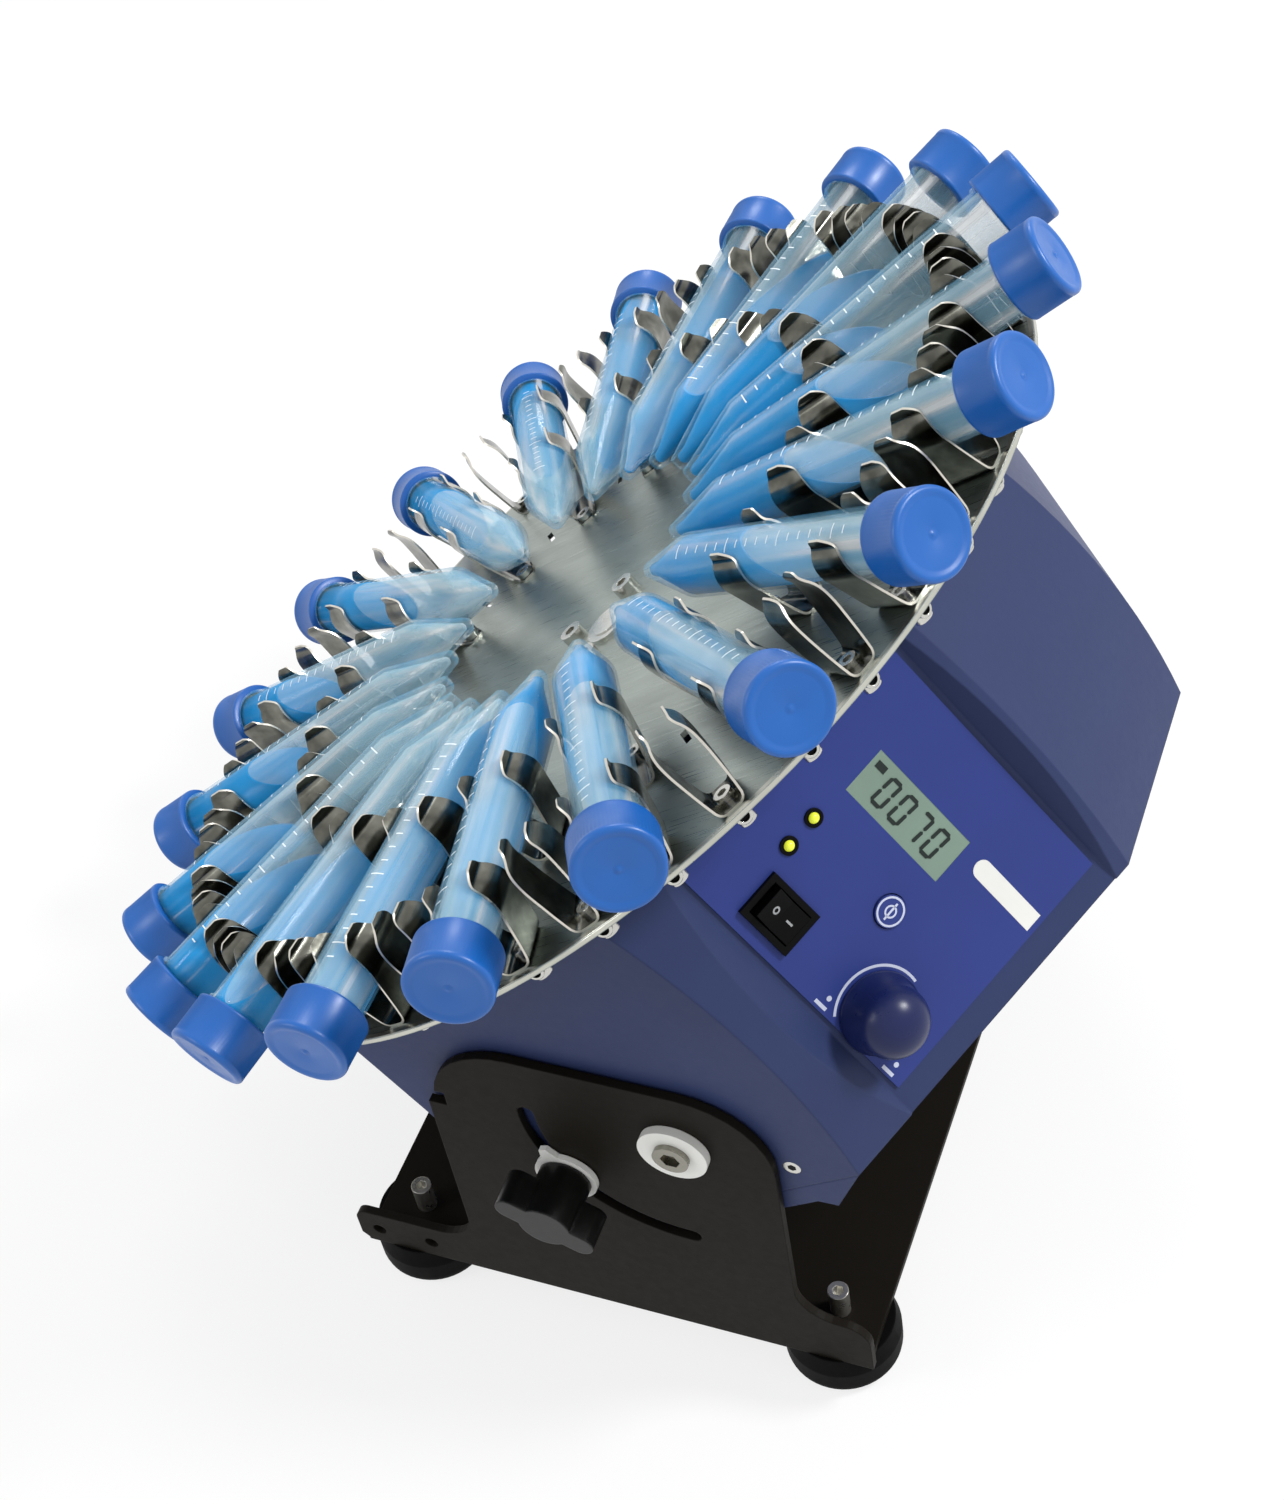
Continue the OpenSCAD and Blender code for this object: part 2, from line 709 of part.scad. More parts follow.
// ---------------------------------------------------------------- rotor
coupling_z = 32;
coupling_length = 17.4;
shaft_rear = 44;
shaft_end = disc_top + 1.6;
hub_dia = 44;
hub_sheet = 4;
spigot_dia = 15;
hub_back = disc_back - hub_sheet;
spigot_drop = 0.4;
hub_bolt_r = 14;
hub_bolt_dia = 4;
module motor_shaft() {
    color(STEEL) in_rotor() translate([0, 0, drive_rear - 11])
        cylinder(d = motor_shaft_dia, h = 11 + shaft_rear - drive_rear);
}
module drive_coupling() {
    color(SPRING_STEEL) in_rotor() translate([0, 0, coupling_z]) difference() {
        cylinder(d = 20, h = coupling_length);
        translate([0, 0, -1]) cylinder(d = motor_shaft_dia, h = coupling_length + 2);
        translate([0, 0, shaft_rear - coupling_z]) cylinder(d = shaft_dia, h = 10);
    }
}
module rotor_shaft() {
    color(STEEL) in_rotor() translate([0, 0, shaft_rear])
        cylinder(d = shaft_dia, h = shaft_end - shaft_rear);
}
module rotor_hub() {
    color(STEEL) in_rotor() difference() {
        union() {
            translate([0, 0, hub_back]) cylinder(d = hub_dia, h = hub_sheet);
            translate([0, 0, hub_back])
                cylinder(d = spigot_dia, h = shaft_end - hub_back - spigot_drop);
        }
        translate([0, 0, hub_back - 1]) cylinder(d = shaft_dia, h = 20);
        for (a = [0:90:270]) at_radius(hub_bolt_r, a, hub_back - 1)
            cylinder(d = hub_bolt_dia, h = hub_sheet + 2);
    }
}
module hub_bolts() {
    color(STEEL) in_rotor() for (a = [0:90:270]) at_radius(hub_bolt_r, a, 0) difference() {
        union() {
            translate([0, 0, hub_back]) cylinder(d = hub_bolt_dia, h = disc_top - hub_back);
            translate([0, 0, disc_top]) cylinder(d = 7, h = 3.4);
        }
        translate([0, 0, disc_top + 1.6]) cylinder(d = 3.6, h = 3, $fn = 6);
    }
}

// Spring clips: an inner and an outer row grip the tubes, and a third row between the
// tubes takes small tubes and stands empty. Each clip is one bent strip, screwed down.
disc_r = disc_dia / 2;
inner_screw_r = 0.5706 * disc_r;
inner_leaf_r = 0.6437 * disc_r;
outer_leaf_r = 0.8 * disc_r + 19;
outer_screw_r = outer_leaf_r + 0.5;
slot_r = 0.64 * disc_r;
slot_size = [7, 1.8];
screw_dia = 3;
clip_sheet = 0.6;
foot_half = 3.4;
leaf_round = 5;
tube_grip = tube_dia / 2 + 0.1;
small_grip = 5.2;
module at_clips(r, offset) {
    for (i = [0:tube_count - 1]) at_radius(r, (i + offset) * pitch, disc_top) children();
}
module at_clip_screws() {
    at_clips(inner_screw_r, 0) children();
    at_clips(outer_screw_r, 0) children();
    at_clips(outer_screw_r, 0.5) children();
}

module rotor_disc() {
    color(STEEL) in_rotor() difference() {
        translate([0, 0, disc_back]) cylinder(d = disc_dia, h = disc_sheet, $fn = 180);
        translate([0, 0, disc_back - 1]) cylinder(d = spigot_dia, h = 5);
        for (a = [0:90:270]) at_radius(hub_bolt_r, a, disc_back - 1)
            cylinder(d = hub_bolt_dia, h = disc_sheet + 2);
        at_clip_screws() translate([0, 0, -disc_sheet - 1])
            cylinder(d = screw_dia, h = disc_sheet + 2, $fn = 16);
        at_clips(slot_r, 0.5) translate([-slot_size[0] / 2, -slot_size[1] / 2, -disc_sheet - 1])
            cube([slot_size[0], slot_size[1], disc_sheet + 2]);
    }
}

// Inner face of half a clip, across the tube: foot, flared leaf, grip, turned-out lip
grip_z = tube_lift - clip_sheet;
lip_rise = 9.2;
function tube_leaf() = concat([[0, 0], [foot_half, 0], [0.57 * tube_grip, 3.8]],
    arc(0, grip_z, tube_grip, -24, 40, 6),
    [[0.74 * tube_grip, grip_z + 6.8], [0.86 * tube_grip, grip_z + lip_rise + 0.8]]);
function small_leaf() = [[0, 0], [foot_half, 0], [0.78 * small_grip, 4.4],
    [0.9 * small_grip, 10.4], [small_grip, 16.7], [0.97 * small_grip, 21.6],
    [0.62 * small_grip, 25.4], [0.74 * small_grip, 28]];
function mirrored(line) = concat([for (i = [len(line) - 1:-1:1]) [-line[i][0], line[i][1]]], line);
function normal_at(line, i) = let (
    a = line[max(i - 1, 0)],
    b = line[min(i + 1, len(line) - 1)],
    d = b - a)
    [d[1], -d[0]] / norm(d);
function band(line, t) = concat(line,
    [for (i = [len(line) - 1:-1:0]) line[i] + t * normal_at(line, i)]);

// The strip seen from its side: a foot with a screw tongue, and leaves with round corners
module leaf_outline(tongue) {
    top = tube_lift + lip_rise;
    half = clip_width / 2;
    polygon(concat([[-half - tongue, -1], [half, -1], [half, 2], [half - 1, 4]],
        arc(half - leaf_round, top - leaf_round, leaf_round, 0, 90, 5),
        arc(-half + leaf_round, top - leaf_round, leaf_round, 90, 180, 5),
        [[-half + 1, 4], [-half, 2], [-half - tongue, 2]]));
}
module clip(line, tongue, screw_x) {
    span = 40;
    difference() {
        intersection() {
            rotate([90, 0, 90]) translate([0, clip_sheet, -clip_width])
                linear_extrude(2 * clip_width) polygon(band(mirrored(line), clip_sheet));
            translate([0, span / 2, 0]) rotate([90, 0, 0])
                linear_extrude(span) leaf_outline(tongue);
        }
        translate([screw_x, 0, -2]) cylinder(d = screw_dia, h = 5, $fn = 16);
    }
}
module inner_clips() {
    color(SPRING_STEEL) in_rotor() at_clips(inner_leaf_r, 0)
        clip(tube_leaf(), 6.5, inner_screw_r - inner_leaf_r);
}
module outer_clips() {
    color(SPRING_STEEL) in_rotor() at_clips(outer_leaf_r, 0)
        clip(tube_leaf(), 0, outer_screw_r - outer_leaf_r);
}
module small_clips() {
    color(SPRING_STEEL) in_rotor() at_clips(outer_leaf_r, 0.5)
        clip(small_leaf(), 0, outer_screw_r - outer_leaf_r);
}

// Each screw ends in a long round nut under the disc
nut_dia = 4.9;
nut_length = 5.9;
nut_floor = 1.8;
screw_head = 1.8;
module clip_screws() {
    color(STEEL) in_rotor() at_clip_screws() difference() {
        union() {
            translate([0, 0, nut_floor - disc_sheet - nut_length])
                cylinder(d = screw_dia, h = disc_sheet + nut_length - nut_floor + clip_sheet,
                    $fn = 16);
            translate([0, 0, clip_sheet]) cylinder(d = 5, h = screw_head, $fn = 16);
        }
        translate([0, 0, clip_sheet + screw_head - 1.1]) cylinder(d = 2.6, h = 2, $fn = 6);
    }
}
module clip_nuts() {
    color(STEEL) in_rotor() at_clip_screws() translate([0, 0, -disc_sheet - nut_length])
        difference() {
            cylinder(d = nut_dia, h = nut_length, $fn = 16);
            translate([0, 0, nut_floor]) cylinder(d = screw_dia, h = nut_length, $fn = 16);
            translate([0, 0, -1]) cylinder(d = 2, h = 2, $fn = 16);
        }
}

// ---------------------------------------------------------------- tubes
tube_wall = 1.1;
cone_length = 22;
tip_flat = 1.8;
cap_length = 13;
cap_inner = tube_length - 1.8;
function tube_profile(shrink, top) = concat(
    [[0, shrink * 1.6]],
    arc(0, tip_flat + 0.4, tip_flat + 0.4 - shrink * 0.6, 270 + (shrink > 0 ? 4 : 0), 350, 4),
    [[tube_dia / 2 - shrink, cone_length], [tube_dia / 2 - shrink, top], [0, top]]);

tip_radius = tip_share * disc_r;
module along_tube(i) {
    in_rotor() rotate([0, 0, (i - 1) * pitch]) translate([tip_radius, 0, tube_plane])
        rotate([0, 90, 0]) children();
}
module sample_tube(i) {
    color(TUBE_BLUE) along_tube(i) difference() {
        rotate_extrude() polygon(tube_profile(0, cap_inner));
        rotate_extrude() polygon(tube_profile(tube_wall, cap_inner + 1));
    }
}
module tube_caps() {
    r = cap_dia / 2;
    color(CAP_BLUE) for (i = [1:tube_count]) along_tube(i) difference() {
        translate([0, 0, tube_length - cap_length]) rotate_extrude()
            polygon([[0, 0], [r, 0], [r, cap_length - 1.6], [r - 1.2, cap_length - 0.5],
                [r - 2.2, cap_length], [r - 3, cap_length - 0.5], [0, cap_length - 0.5]]);
        cylinder(d = tube_dia, h = cap_inner);
    }
}

// ---------------------------------------------------------------- assembly
bracket();
feet();
foot_studs();
pivot_bolts();
pivot_washers();
housing_shell();
front_plate();
rear_cover();
housing_screws();
bearing_housing();
shaft_bearings();
gear_motor();
control_board();
control_panel();
display_module();
lamp_bezels();
indicator_lamps();
power_switch_body();
speed_control();
button_switch();
power_inlet();
clamp_stud();
pointer_washer();
clamp_knob();
power_rocker();
mode_button();
speed_knob();
knob_shaft();
motor_shaft();
drive_coupling();
rotor_shaft();
rotor_hub();
hub_bolts();
rotor_disc();
inner_clips();
outer_clips();
small_clips();
clip_screws();
clip_nuts();
tube_caps();
for (i = [1:tube_count])
    sample_tube(i);
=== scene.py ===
"""Looks of the tube rotator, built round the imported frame: materials for the CAD pieces, and
clear tubes with liquids and scales, ribbed caps, smooth spring clips, nut holes, the speed
knob, printed marks and display digits.

Blender's lengths are metres. Sizes here are in millimetres, as in the CAD model, and MM turns
them into metres; angles are in degrees. Only the camera, the lamps and the floor are placed
in metres. A noise's scale is how many of its patches go to a metre.
"""
import math

import bmesh
import bpy
from mathutils import Matrix, Vector

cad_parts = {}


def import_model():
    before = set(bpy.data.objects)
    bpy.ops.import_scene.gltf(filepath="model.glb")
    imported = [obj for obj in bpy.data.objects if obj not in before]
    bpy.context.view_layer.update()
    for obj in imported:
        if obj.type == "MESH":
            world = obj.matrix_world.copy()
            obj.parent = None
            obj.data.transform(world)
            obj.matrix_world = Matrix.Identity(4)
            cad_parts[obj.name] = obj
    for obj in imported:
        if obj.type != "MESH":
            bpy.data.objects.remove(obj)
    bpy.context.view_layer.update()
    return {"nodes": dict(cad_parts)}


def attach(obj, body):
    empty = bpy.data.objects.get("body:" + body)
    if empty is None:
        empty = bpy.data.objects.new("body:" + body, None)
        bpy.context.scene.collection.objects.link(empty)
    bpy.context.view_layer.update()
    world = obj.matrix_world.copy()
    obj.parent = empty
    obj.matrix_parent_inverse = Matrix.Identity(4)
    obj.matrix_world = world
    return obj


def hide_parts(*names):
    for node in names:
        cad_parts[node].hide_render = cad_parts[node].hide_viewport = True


MM = 0.001
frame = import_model()

# Sizes that the CAD model also has, in millimetres and degrees. The head:
PIVOT = (31.3, 0.0, 107.5)
HEAD_TILT = 36.3
PIVOT_RISE = 8.0
BODY_HALF_WIDTH = 118.3
SHOULDER_SLOPE = 34.7
SHOULDER_REACH = 107.5
SIDE_SCREWS_X = (31.9, -50.0)
SCREW_Z = -19.3

# The control panel, whose sizes are in its own frame:
PANEL_Z = 22.0
LABEL_FACE = 0.3
DISPLAY_AT = (-8.7, 3.6)
BUTTON_AT = (4.9, -16.4)
BUTTON_PROUD = 0.9
KNOB_AT = (21.7, -36.3)
SWITCH_AT = (-18.0, -36.2)
ROCKER_PIN_Z = -1.6
ROCKER_THROW = 7.0
ROCKER_MIDDLE = 3.1
ROCKER_END = 4.4
ROCKER_REACH = 6.2

# The rotor:
ROTOR_PHASE = -1.7
TUBE_COUNT = 20
PITCH = 360 / TUBE_COUNT
DISC_TOP = 81.9
DISC_BACK = 80.4
DISC_R = 143.7

# A tube and its cap:
TUBE_PLANE = 100.0
TIP_RADIUS = 0.306 * DISC_R
TUBE_R = 8.4
TUBE_WALL = 1.1
TUBE_LENGTH = 119.5
CONE_LENGTH = 22.0
CAP_R = 11.0
CAP_LENGTH = 13.0

# The spring clips, and the long nuts of their screws:
CLIP_SHEET = 0.6
CLIP_HALF = 7.0
LEAF_TOP = 27.3
FOOT_HALF = 3.4
SMALL_GRIP = 5.2
INNER_TONGUE = 6.5
INNER_LEAF_R = 0.6437 * DISC_R
OUTER_LEAF_R = 0.8 * DISC_R + 19
NUT_R = OUTER_LEAF_R + 0.5
NUT_LENGTH = 5.9

# The camera, solved from the photograph: pixels, and the part's own axes in metres
FOCAL_PX = 2496.46
PHOTO_HEIGHT_PX = 1500
CAMERA_AT = Vector((0.21560, -0.44232, 0.64743))
CAMERA_RIGHT = Vector((0.93027, 0.34332, -0.12937))
CAMERA_UP = Vector((-0.17079, 0.71731, 0.67550))


# ------------------------------------------------------------------ frames
def turn(angle, axis):
    """A turn about one of the axes."""
    return Matrix.Rotation(math.radians(angle), 4, axis)


def shift(x, y, z):
    """A move without a turn."""
    return Matrix.Translation(Vector((x, y, z)) * MM)


HEAD = shift(*PIVOT) @ turn(-HEAD_TILT, "Y") @ shift(-PIVOT_RISE, 0, 0)
PANEL = HEAD @ turn(-SHOULDER_SLOPE, "Z") @ shift(SHOULDER_REACH, 0, PANEL_Z) @ turn(90, "Y")
ROTOR = HEAD @ turn(ROTOR_PHASE, "Z")


def at_radius(r, angle, z):
    """A place on the disc, with X outwards and Z off its face."""
    return ROTOR @ turn(angle, "Z") @ shift(r, 0, z)


def tube_frame(i):
    """Tube i's own frame: Z runs from the tip to the cap."""
    return at_radius(TIP_RADIUS, i * PITCH, TUBE_PLANE) @ turn(90, "Y")


# ------------------------------------------------------------------ materials
def srgb(r, g, b):
    """A colour as a picture shows it, 0 to 255, turned into Blender's linear values."""
    def linear(v):
        v = v / 255
        return v / 12.92 if v <= 0.04045 else ((v + 0.055) / 1.055) ** 2.4
    return (linear(r), linear(g), linear(b), 1.0)


def scaled(colour, k):
    """The same colour, k times as light."""
    return tuple(min(1.0, c * k) for c in colour[:3]) + (1.0,)


class Finish:
    """One procedural material: a Principled shader with colour, gloss and bump that vary."""

    def __init__(self, name, colour, rough=0.5, metal=0.0, **sockets):
        self.mat = bpy.data.materials.new(name)
        self.mat.use_nodes = True
        self.tree = self.mat.node_tree
        self.bsdf = self.tree.nodes["Principled BSDF"]
        self.colour = colour
        self.normal = None
        self.bsdf.inputs["Base Color"].default_value = colour
        self.bsdf.inputs["Roughness"].default_value = rough
        self.bsdf.inputs["Metallic"].default_value = metal
        for socket, value in sockets.items():
            self.bsdf.inputs[socket.replace("_", " ")].default_value = value
        self.rough = rough
        coord = self.tree.nodes.new("ShaderNodeTexCoord")
        self.coord = coord.outputs["Object"]

    def node(self, kind, **settings):
        """A new shader node."""
        n = self.tree.nodes.new(kind)
        for k, v in settings.items():
            setattr(n, k, v)
        return n

    def link(self, a, b):
        self.tree.links.new(a, b)

    def mapped(self, scale=(1, 1, 1), matrix=None):
        """Object coordinates, turned into one of the frames above, and stretched."""
        source = self.coord
        if matrix is not None:
            inverse = matrix.inverted()
            m = self.node("ShaderNodeMapping")
            m.inputs["Location"].default_value = inverse.to_translation()
            m.inputs["Rotation"].default_value = inverse.to_euler()
            self.link(source, m.inputs["Vector"])
            source = m.outputs["Vector"]
        m = self.node("ShaderNodeMapping")
        m.inputs["Scale"].default_value = scale
        self.link(source, m.inputs["Vector"])
        return m.outputs["Vector"]

    def noise(self, scale, detail=3, vector=None):
        """Noise in the object's own coordinates, or in stretched ones."""
        n = self.node("ShaderNodeTexNoise")
        n.inputs["Scale"].default_value = scale
        n.inputs["Detail"].default_value = detail
        self.link(vector if vector is not None else self.coord, n.inputs["Vector"])
        return n.outputs["Fac"]

    def ramp(self, fac, stops):
        """Colours for a value, given as (position, colour) from low to high."""
        r = self.node("ShaderNodeValToRGB")
        while len(r.color_ramp.elements) < len(stops):
            r.color_ramp.elements.new(0.5)
        for e, (pos, colour) in zip(r.color_ramp.elements, stops):
            e.position = pos
            e.color = colour
        self.link(fac, r.inputs["Fac"])
        return r.outputs["Color"]

    def mottle(self, scale=60, amount=0.08, vector=None, spread=0.2):
        """Colour that drifts a little lighter and darker over the surface."""
        fac = self.noise(scale, 4, vector)
        low, high = scaled(self.colour, 1 - amount), scaled(self.colour, 1 + amount)
        self.link(self.ramp(fac, [(0.5 - spread, low), (0.5 + spread, high)]),
                  self.bsdf.inputs["Base Color"])
        return self

    def gloss(self, scale=120, amount=0.08, vector=None):
        """Gloss that varies over the surface, as most noise lies between low and high."""
        low, high = 0.3, 0.7
        m = self.node("ShaderNodeMapRange")
        m.inputs["From Min"].default_value = low
        m.inputs["From Max"].default_value = high
        m.inputs["To Min"].default_value = max(0.02, self.rough - amount)
        m.inputs["To Max"].default_value = min(1.0, self.rough + amount)
        self.link(self.noise(scale, 3, vector), m.inputs["Value"])
        self.link(m.outputs["Result"], self.bsdf.inputs["Roughness"])
        return self

    def bump(self, fac, strength, depth):
        """Bumps up to a depth in millimetres, on top of any soft edges."""
        b = self.node("ShaderNodeBump")
        b.inputs["Strength"].default_value = strength
        b.inputs["Distance"].default_value = depth * MM
        self.link(fac, b.inputs["Height"])
        if self.normal is not None:
            self.link(self.normal, b.inputs["Normal"])
        self.normal = b.outputs["Normal"]
        self.link(self.normal, self.bsdf.inputs["Normal"])
        return self

    def soft_edges(self, radius):
        """Edges shaded as if they had a small round, in millimetres."""
        b = self.node("ShaderNodeBevel", samples=4)
        b.inputs["Radius"].default_value = radius * MM
        self.normal = b.outputs["Normal"]
        self.link(self.normal, self.bsdf.inputs["Normal"])
        return self

    def grain(self, scale, strength, depth=0.08):
        """A fine moulded or sprayed grain."""
        return self.bump(self.noise(scale, 2), strength, depth)


def plastic(name, colour, rough=0.45, edge=0.0, grain=0.15, scale=2500, **sockets):
    """Moulded or coated: faint drift of colour and gloss, and a fine grain."""
    f = Finish(name, colour, rough, **sockets).mottle(40, 0.04).gloss(400, 0.03)
    if edge:
        f.soft_edges(edge)
    return f.grain(scale, grain)


def steel(name, colour, rough=0.28, edge=0.0, metal=1.0):
    """Steel with fine lines along the object's X axis."""
    f = Finish(name, colour, rough, metal)
    lines = f.noise(90, 3, f.mapped((1, 60, 1)))
    f.mottle(70, 0.1).gloss(150, 0.06)
    if edge:
        f.soft_edges(edge)
    return f.bump(lines, 0.12, 0.05)


# How much light a surface throws back, next to bare plastic's 0.5
DULL = {"Specular_IOR_Level": 0.06}
SOFT = {"Specular_IOR_Level": 0.2}
INKY = {"Specular_IOR_Level": 0.08}
SATIN = {"Specular_IOR_Level": 0.3}
MATS = {
    "bracket": plastic("black_coat", srgb(25, 22, 18), 0.5, 0.6, grain=0.3, scale=1800, **DULL),
    "rubber": plastic("foot_rubber", srgb(5, 5, 5), 0.6, 0.6, grain=0.2, scale=1500, **DULL),
    "housing": plastic("housing_blue", srgb(44, 55, 93), 0.5, 0.9, grain=0.3, scale=1600, **SOFT),
    "panel": plastic("panel_film", srgb(44, 58, 124), 0.36, grain=0.06, scale=3000, **SOFT),
    "film_button": plastic("button_film", srgb(46, 60, 126), 0.36, 0.3, grain=0.06, scale=3000,
                           **SOFT),
    "white": plastic("white_plastic", srgb(222, 222, 218), 0.4, 0.3),
    "black": plastic("black_plastic", srgb(6, 6, 7), 0.4, 0.3, grain=0.08, **INKY),
    "clamp_knob": plastic("knob_black", srgb(9, 9, 8), 0.32, 0.8, grain=0.08, **SATIN),
    "navy": plastic("knob_navy", srgb(20, 30, 76), 0.3, 0.4, grain=0.02, **SATIN),
    "bright": steel("bright_steel", srgb(205, 204, 198), 0.22, 0.2),
    "zinc": steel("zinc_plate", srgb(206, 204, 196), 0.3, 0.3, metal=0.9),
    "bolt": steel("bolt_steel", srgb(142, 140, 130), 0.3, 0.3),
    "alloy": steel("cast_alloy", srgb(170, 172, 174), 0.35),
    "motor": steel("motor_can", srgb(130, 130, 130), 0.35),
    "board": plastic("board_green", srgb(24, 92, 52), 0.35),
    "cap": plastic("cap_blue", srgb(16, 90, 170), 0.36, 0.3, grain=0.08),
    "print": plastic("white_print", srgb(190, 196, 216), 0.5, grain=0.02),
    "grey_print": plastic("grey_print", srgb(150, 152, 154), 0.5, grain=0.02),
    "scale": plastic("tube_print", srgb(226, 236, 242), 0.5, grain=0.02),
    "digits": plastic("display_ink", srgb(34, 42, 40), 0.4, grain=0.02, **SOFT),
}
MATS = {k: f.mat for k, f in MATS.items()}


def disc_steel():
    """Sheet steel with a faint long grain and cloudy reflections."""
    f = Finish("disc_steel", srgb(160, 168, 162), 0.34, 1.0)
    grain = f.mapped((1, 45, 1), ROTOR)
    f.mottle(28, 0.16, f.mapped((1, 3, 1), ROTOR), 0.25).gloss(60, 0.1, grain)
    return f.soft_edges(0.3).bump(f.noise(120, 4, grain), 0.1, 0.04).mat


def spring_painted_reflection():
    """Polished spring steel, darkened as painted reflection of the tubes and disc."""
    f = Finish("spring_steel", srgb(110, 110, 104), 0.2, 1.0)
    # Painted reflection: random dark patches, and light patches that are painted glints
    stops = [(0.35, srgb(78, 78, 72)), (0.6, srgb(124, 124, 116)), (0.8, srgb(176, 176, 168))]
    f.link(f.ramp(f.noise(110, 3), stops), f.bsdf.inputs["Base Color"])
    return f.gloss(200, 0.07).grain(900, 0.08, 0.05).mat


def clear_plastic(name, stops, face_on, edge_on, highlight_streak):
    """Plastic in its own tint with faint streaks along it, the whitest of them painted highlight: a
    wall seen edge on hides more than one face on.
    """
    streak_from, streak_to = 0.58, 0.7
    f = Finish(name, stops[1][1], 0.1, 0.0, IOR=1.5)
    lines = f.noise(260, 3, f.mapped((1, 1, 0.03)))
    f.link(f.ramp(lines, stops), f.bsdf.inputs["Base Color"])
    f.gloss(80, 0.05)
    layer = f.node("ShaderNodeLayerWeight")
    layer.inputs["Blend"].default_value = 0.35
    wall = f.node("ShaderNodeMapRange")
    wall.inputs["To Min"].default_value = face_on
    wall.inputs["To Max"].default_value = edge_on
    f.link(layer.outputs["Facing"], wall.inputs["Value"])
    # Painted highlight: the whitest streaks are also the least clear
    thick = f.node("ShaderNodeMapRange")
    thick.inputs["From Min"].default_value = streak_from
    thick.inputs["From Max"].default_value = streak_to
    thick.inputs["To Max"].default_value = highlight_streak
    f.link(lines, thick.inputs["Value"])
    both = f.node("ShaderNodeMath", operation="MAXIMUM")
    f.link(wall.outputs["Result"], both.inputs[0])
    f.link(thick.outputs["Result"], both.inputs[1])
    f.link(both.outputs[0], f.bsdf.inputs["Alpha"])
    return f.mat


def liquid():
    """Blue water, a little cloudy."""
    f = Finish("blue_liquid", srgb(22, 134, 196), 0.2, 0.0, IOR=1.33, Specular_IOR_Level=0.2)
    return f.mottle(35, 0.2).gloss(60, 0.04).mat


def lamp():
    """A lit yellow lamp."""
    f = Finish("lamp_yellow", srgb(214, 222, 60), 0.25, 0.0, Emission_Strength=0.35)
    f.bsdf.inputs["Emission Color"].default_value = srgb(220, 228, 50)
    return f.mottle(800, 0.05).mat


def glass_display():
    """The pale green glass of the display."""
    f = Finish("display_glass", srgb(114, 136, 122), 0.2, 0.0)
    return f.mottle(60, 0.05).gloss(70, 0.05).mat


MATS["disc"] = disc_steel()
MATS["spring"] = spring_painted_reflection()
# Painted highlight: the clips' cut edges take a bright copy of the spring steel
MATS["edge"] = steel("spring_edge_painted_highlight", srgb(214, 210, 200), 0.3).mat
# Painted highlight: the disc's edge band is a lighter copy of the disc's steel
MATS["rim"] = steel("disc_rim_painted_highlight", srgb(196, 196, 186), 0.3).mat
# Both tube materials have their own tint, and streaks whose whitest share is painted highlight
MATS["tube"] = clear_plastic(
    "tube_clear",
    [(0.4, srgb(84, 178, 228)), (0.56, srgb(160, 216, 240)), (0.66, srgb(242, 249, 252))],
    0.06, 0.45, 0.42)
MATS["bore"] = clear_plastic(
    "tube_bore",
    [(0.4, srgb(168, 216, 234)), (0.56, srgb(222, 240, 244)), (0.66, srgb(250, 252, 252))],
    0.18, 0.62, 0.5)
MATS["liquid"] = liquid()
MATS["lamp"] = lamp()
MATS["display"] = glass_display()

NODE_MATS = {
    "bracket": ["bracket"],
    "rubber": ["feet"],
    "housing": ["housing_shell", "front_plate", "rear_cover"],
    "panel": ["control_panel"],
    "film_button": ["mode_button"],
    "white": ["pivot_washers", "pointer_washer"],
    "black": ["lamp_bezels", "power_switch_body", "button_switch", "power_inlet", "power_rocker"],
    "clamp_knob": ["clamp_knob"],
    "navy": ["speed_knob"],
    "zinc": ["foot_studs"],
    "bolt": ["pivot_bolts"],
    "bright": ["housing_screws", "clamp_stud", "knob_shaft",
               "hub_bolts", "clip_screws", "clip_nuts", "shaft_bearings", "motor_shaft",
               "rotor_shaft", "rotor_hub"],
    "alloy": ["bearing_housing", "drive_coupling"],
    "motor": ["gear_motor", "speed_control"],
    "board": ["control_board"],
    "display": ["display_module"],
    "lamp": ["indicator_lamps"],
    "disc": ["rotor_disc"],
    "spring": ["inner_clips", "outer_clips", "small_clips"],
    "cap": ["tube_caps"],
    "tube": [f"tube_{i + 1}" for i in range(TUBE_COUNT)],
}
for key, names in NODE_MATS.items():
    for name in names:
        slots = frame["nodes"][name].material_slots
        for s in slots:
            s.material = MATS[key]
        if not slots:
            frame["nodes"][name].data.materials.append(MATS[key])


# ------------------------------------------------------------------ mesh helpers
def add(name, mesh, body, matrix=None, materials=()):
    """Places a mesh as a piece that rides on a body."""
    obj = bpy.data.objects.new(name, mesh)
    bpy.context.scene.collection.objects.link(obj)
    if matrix is not None:
        obj.matrix_world = matrix
    for m in materials:
        if m.name not in mesh.materials:
            mesh.materials.append(m)
    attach(obj, body)
    return obj


def mesh_from(name, verts, faces, smooth=True, mats=None):
    """A mesh from points in millimetres."""
    mesh = bpy.data.meshes.new(name)
    mesh.from_pydata([tuple(c * MM for c in v) for v in verts], [], faces)
    if mats:
        for p, m in zip(mesh.polygons, mats):
            p.material_index = m
    for p in mesh.polygons:
        p.use_smooth = smooth
    mesh.validate()
    mesh.update()
    return mesh


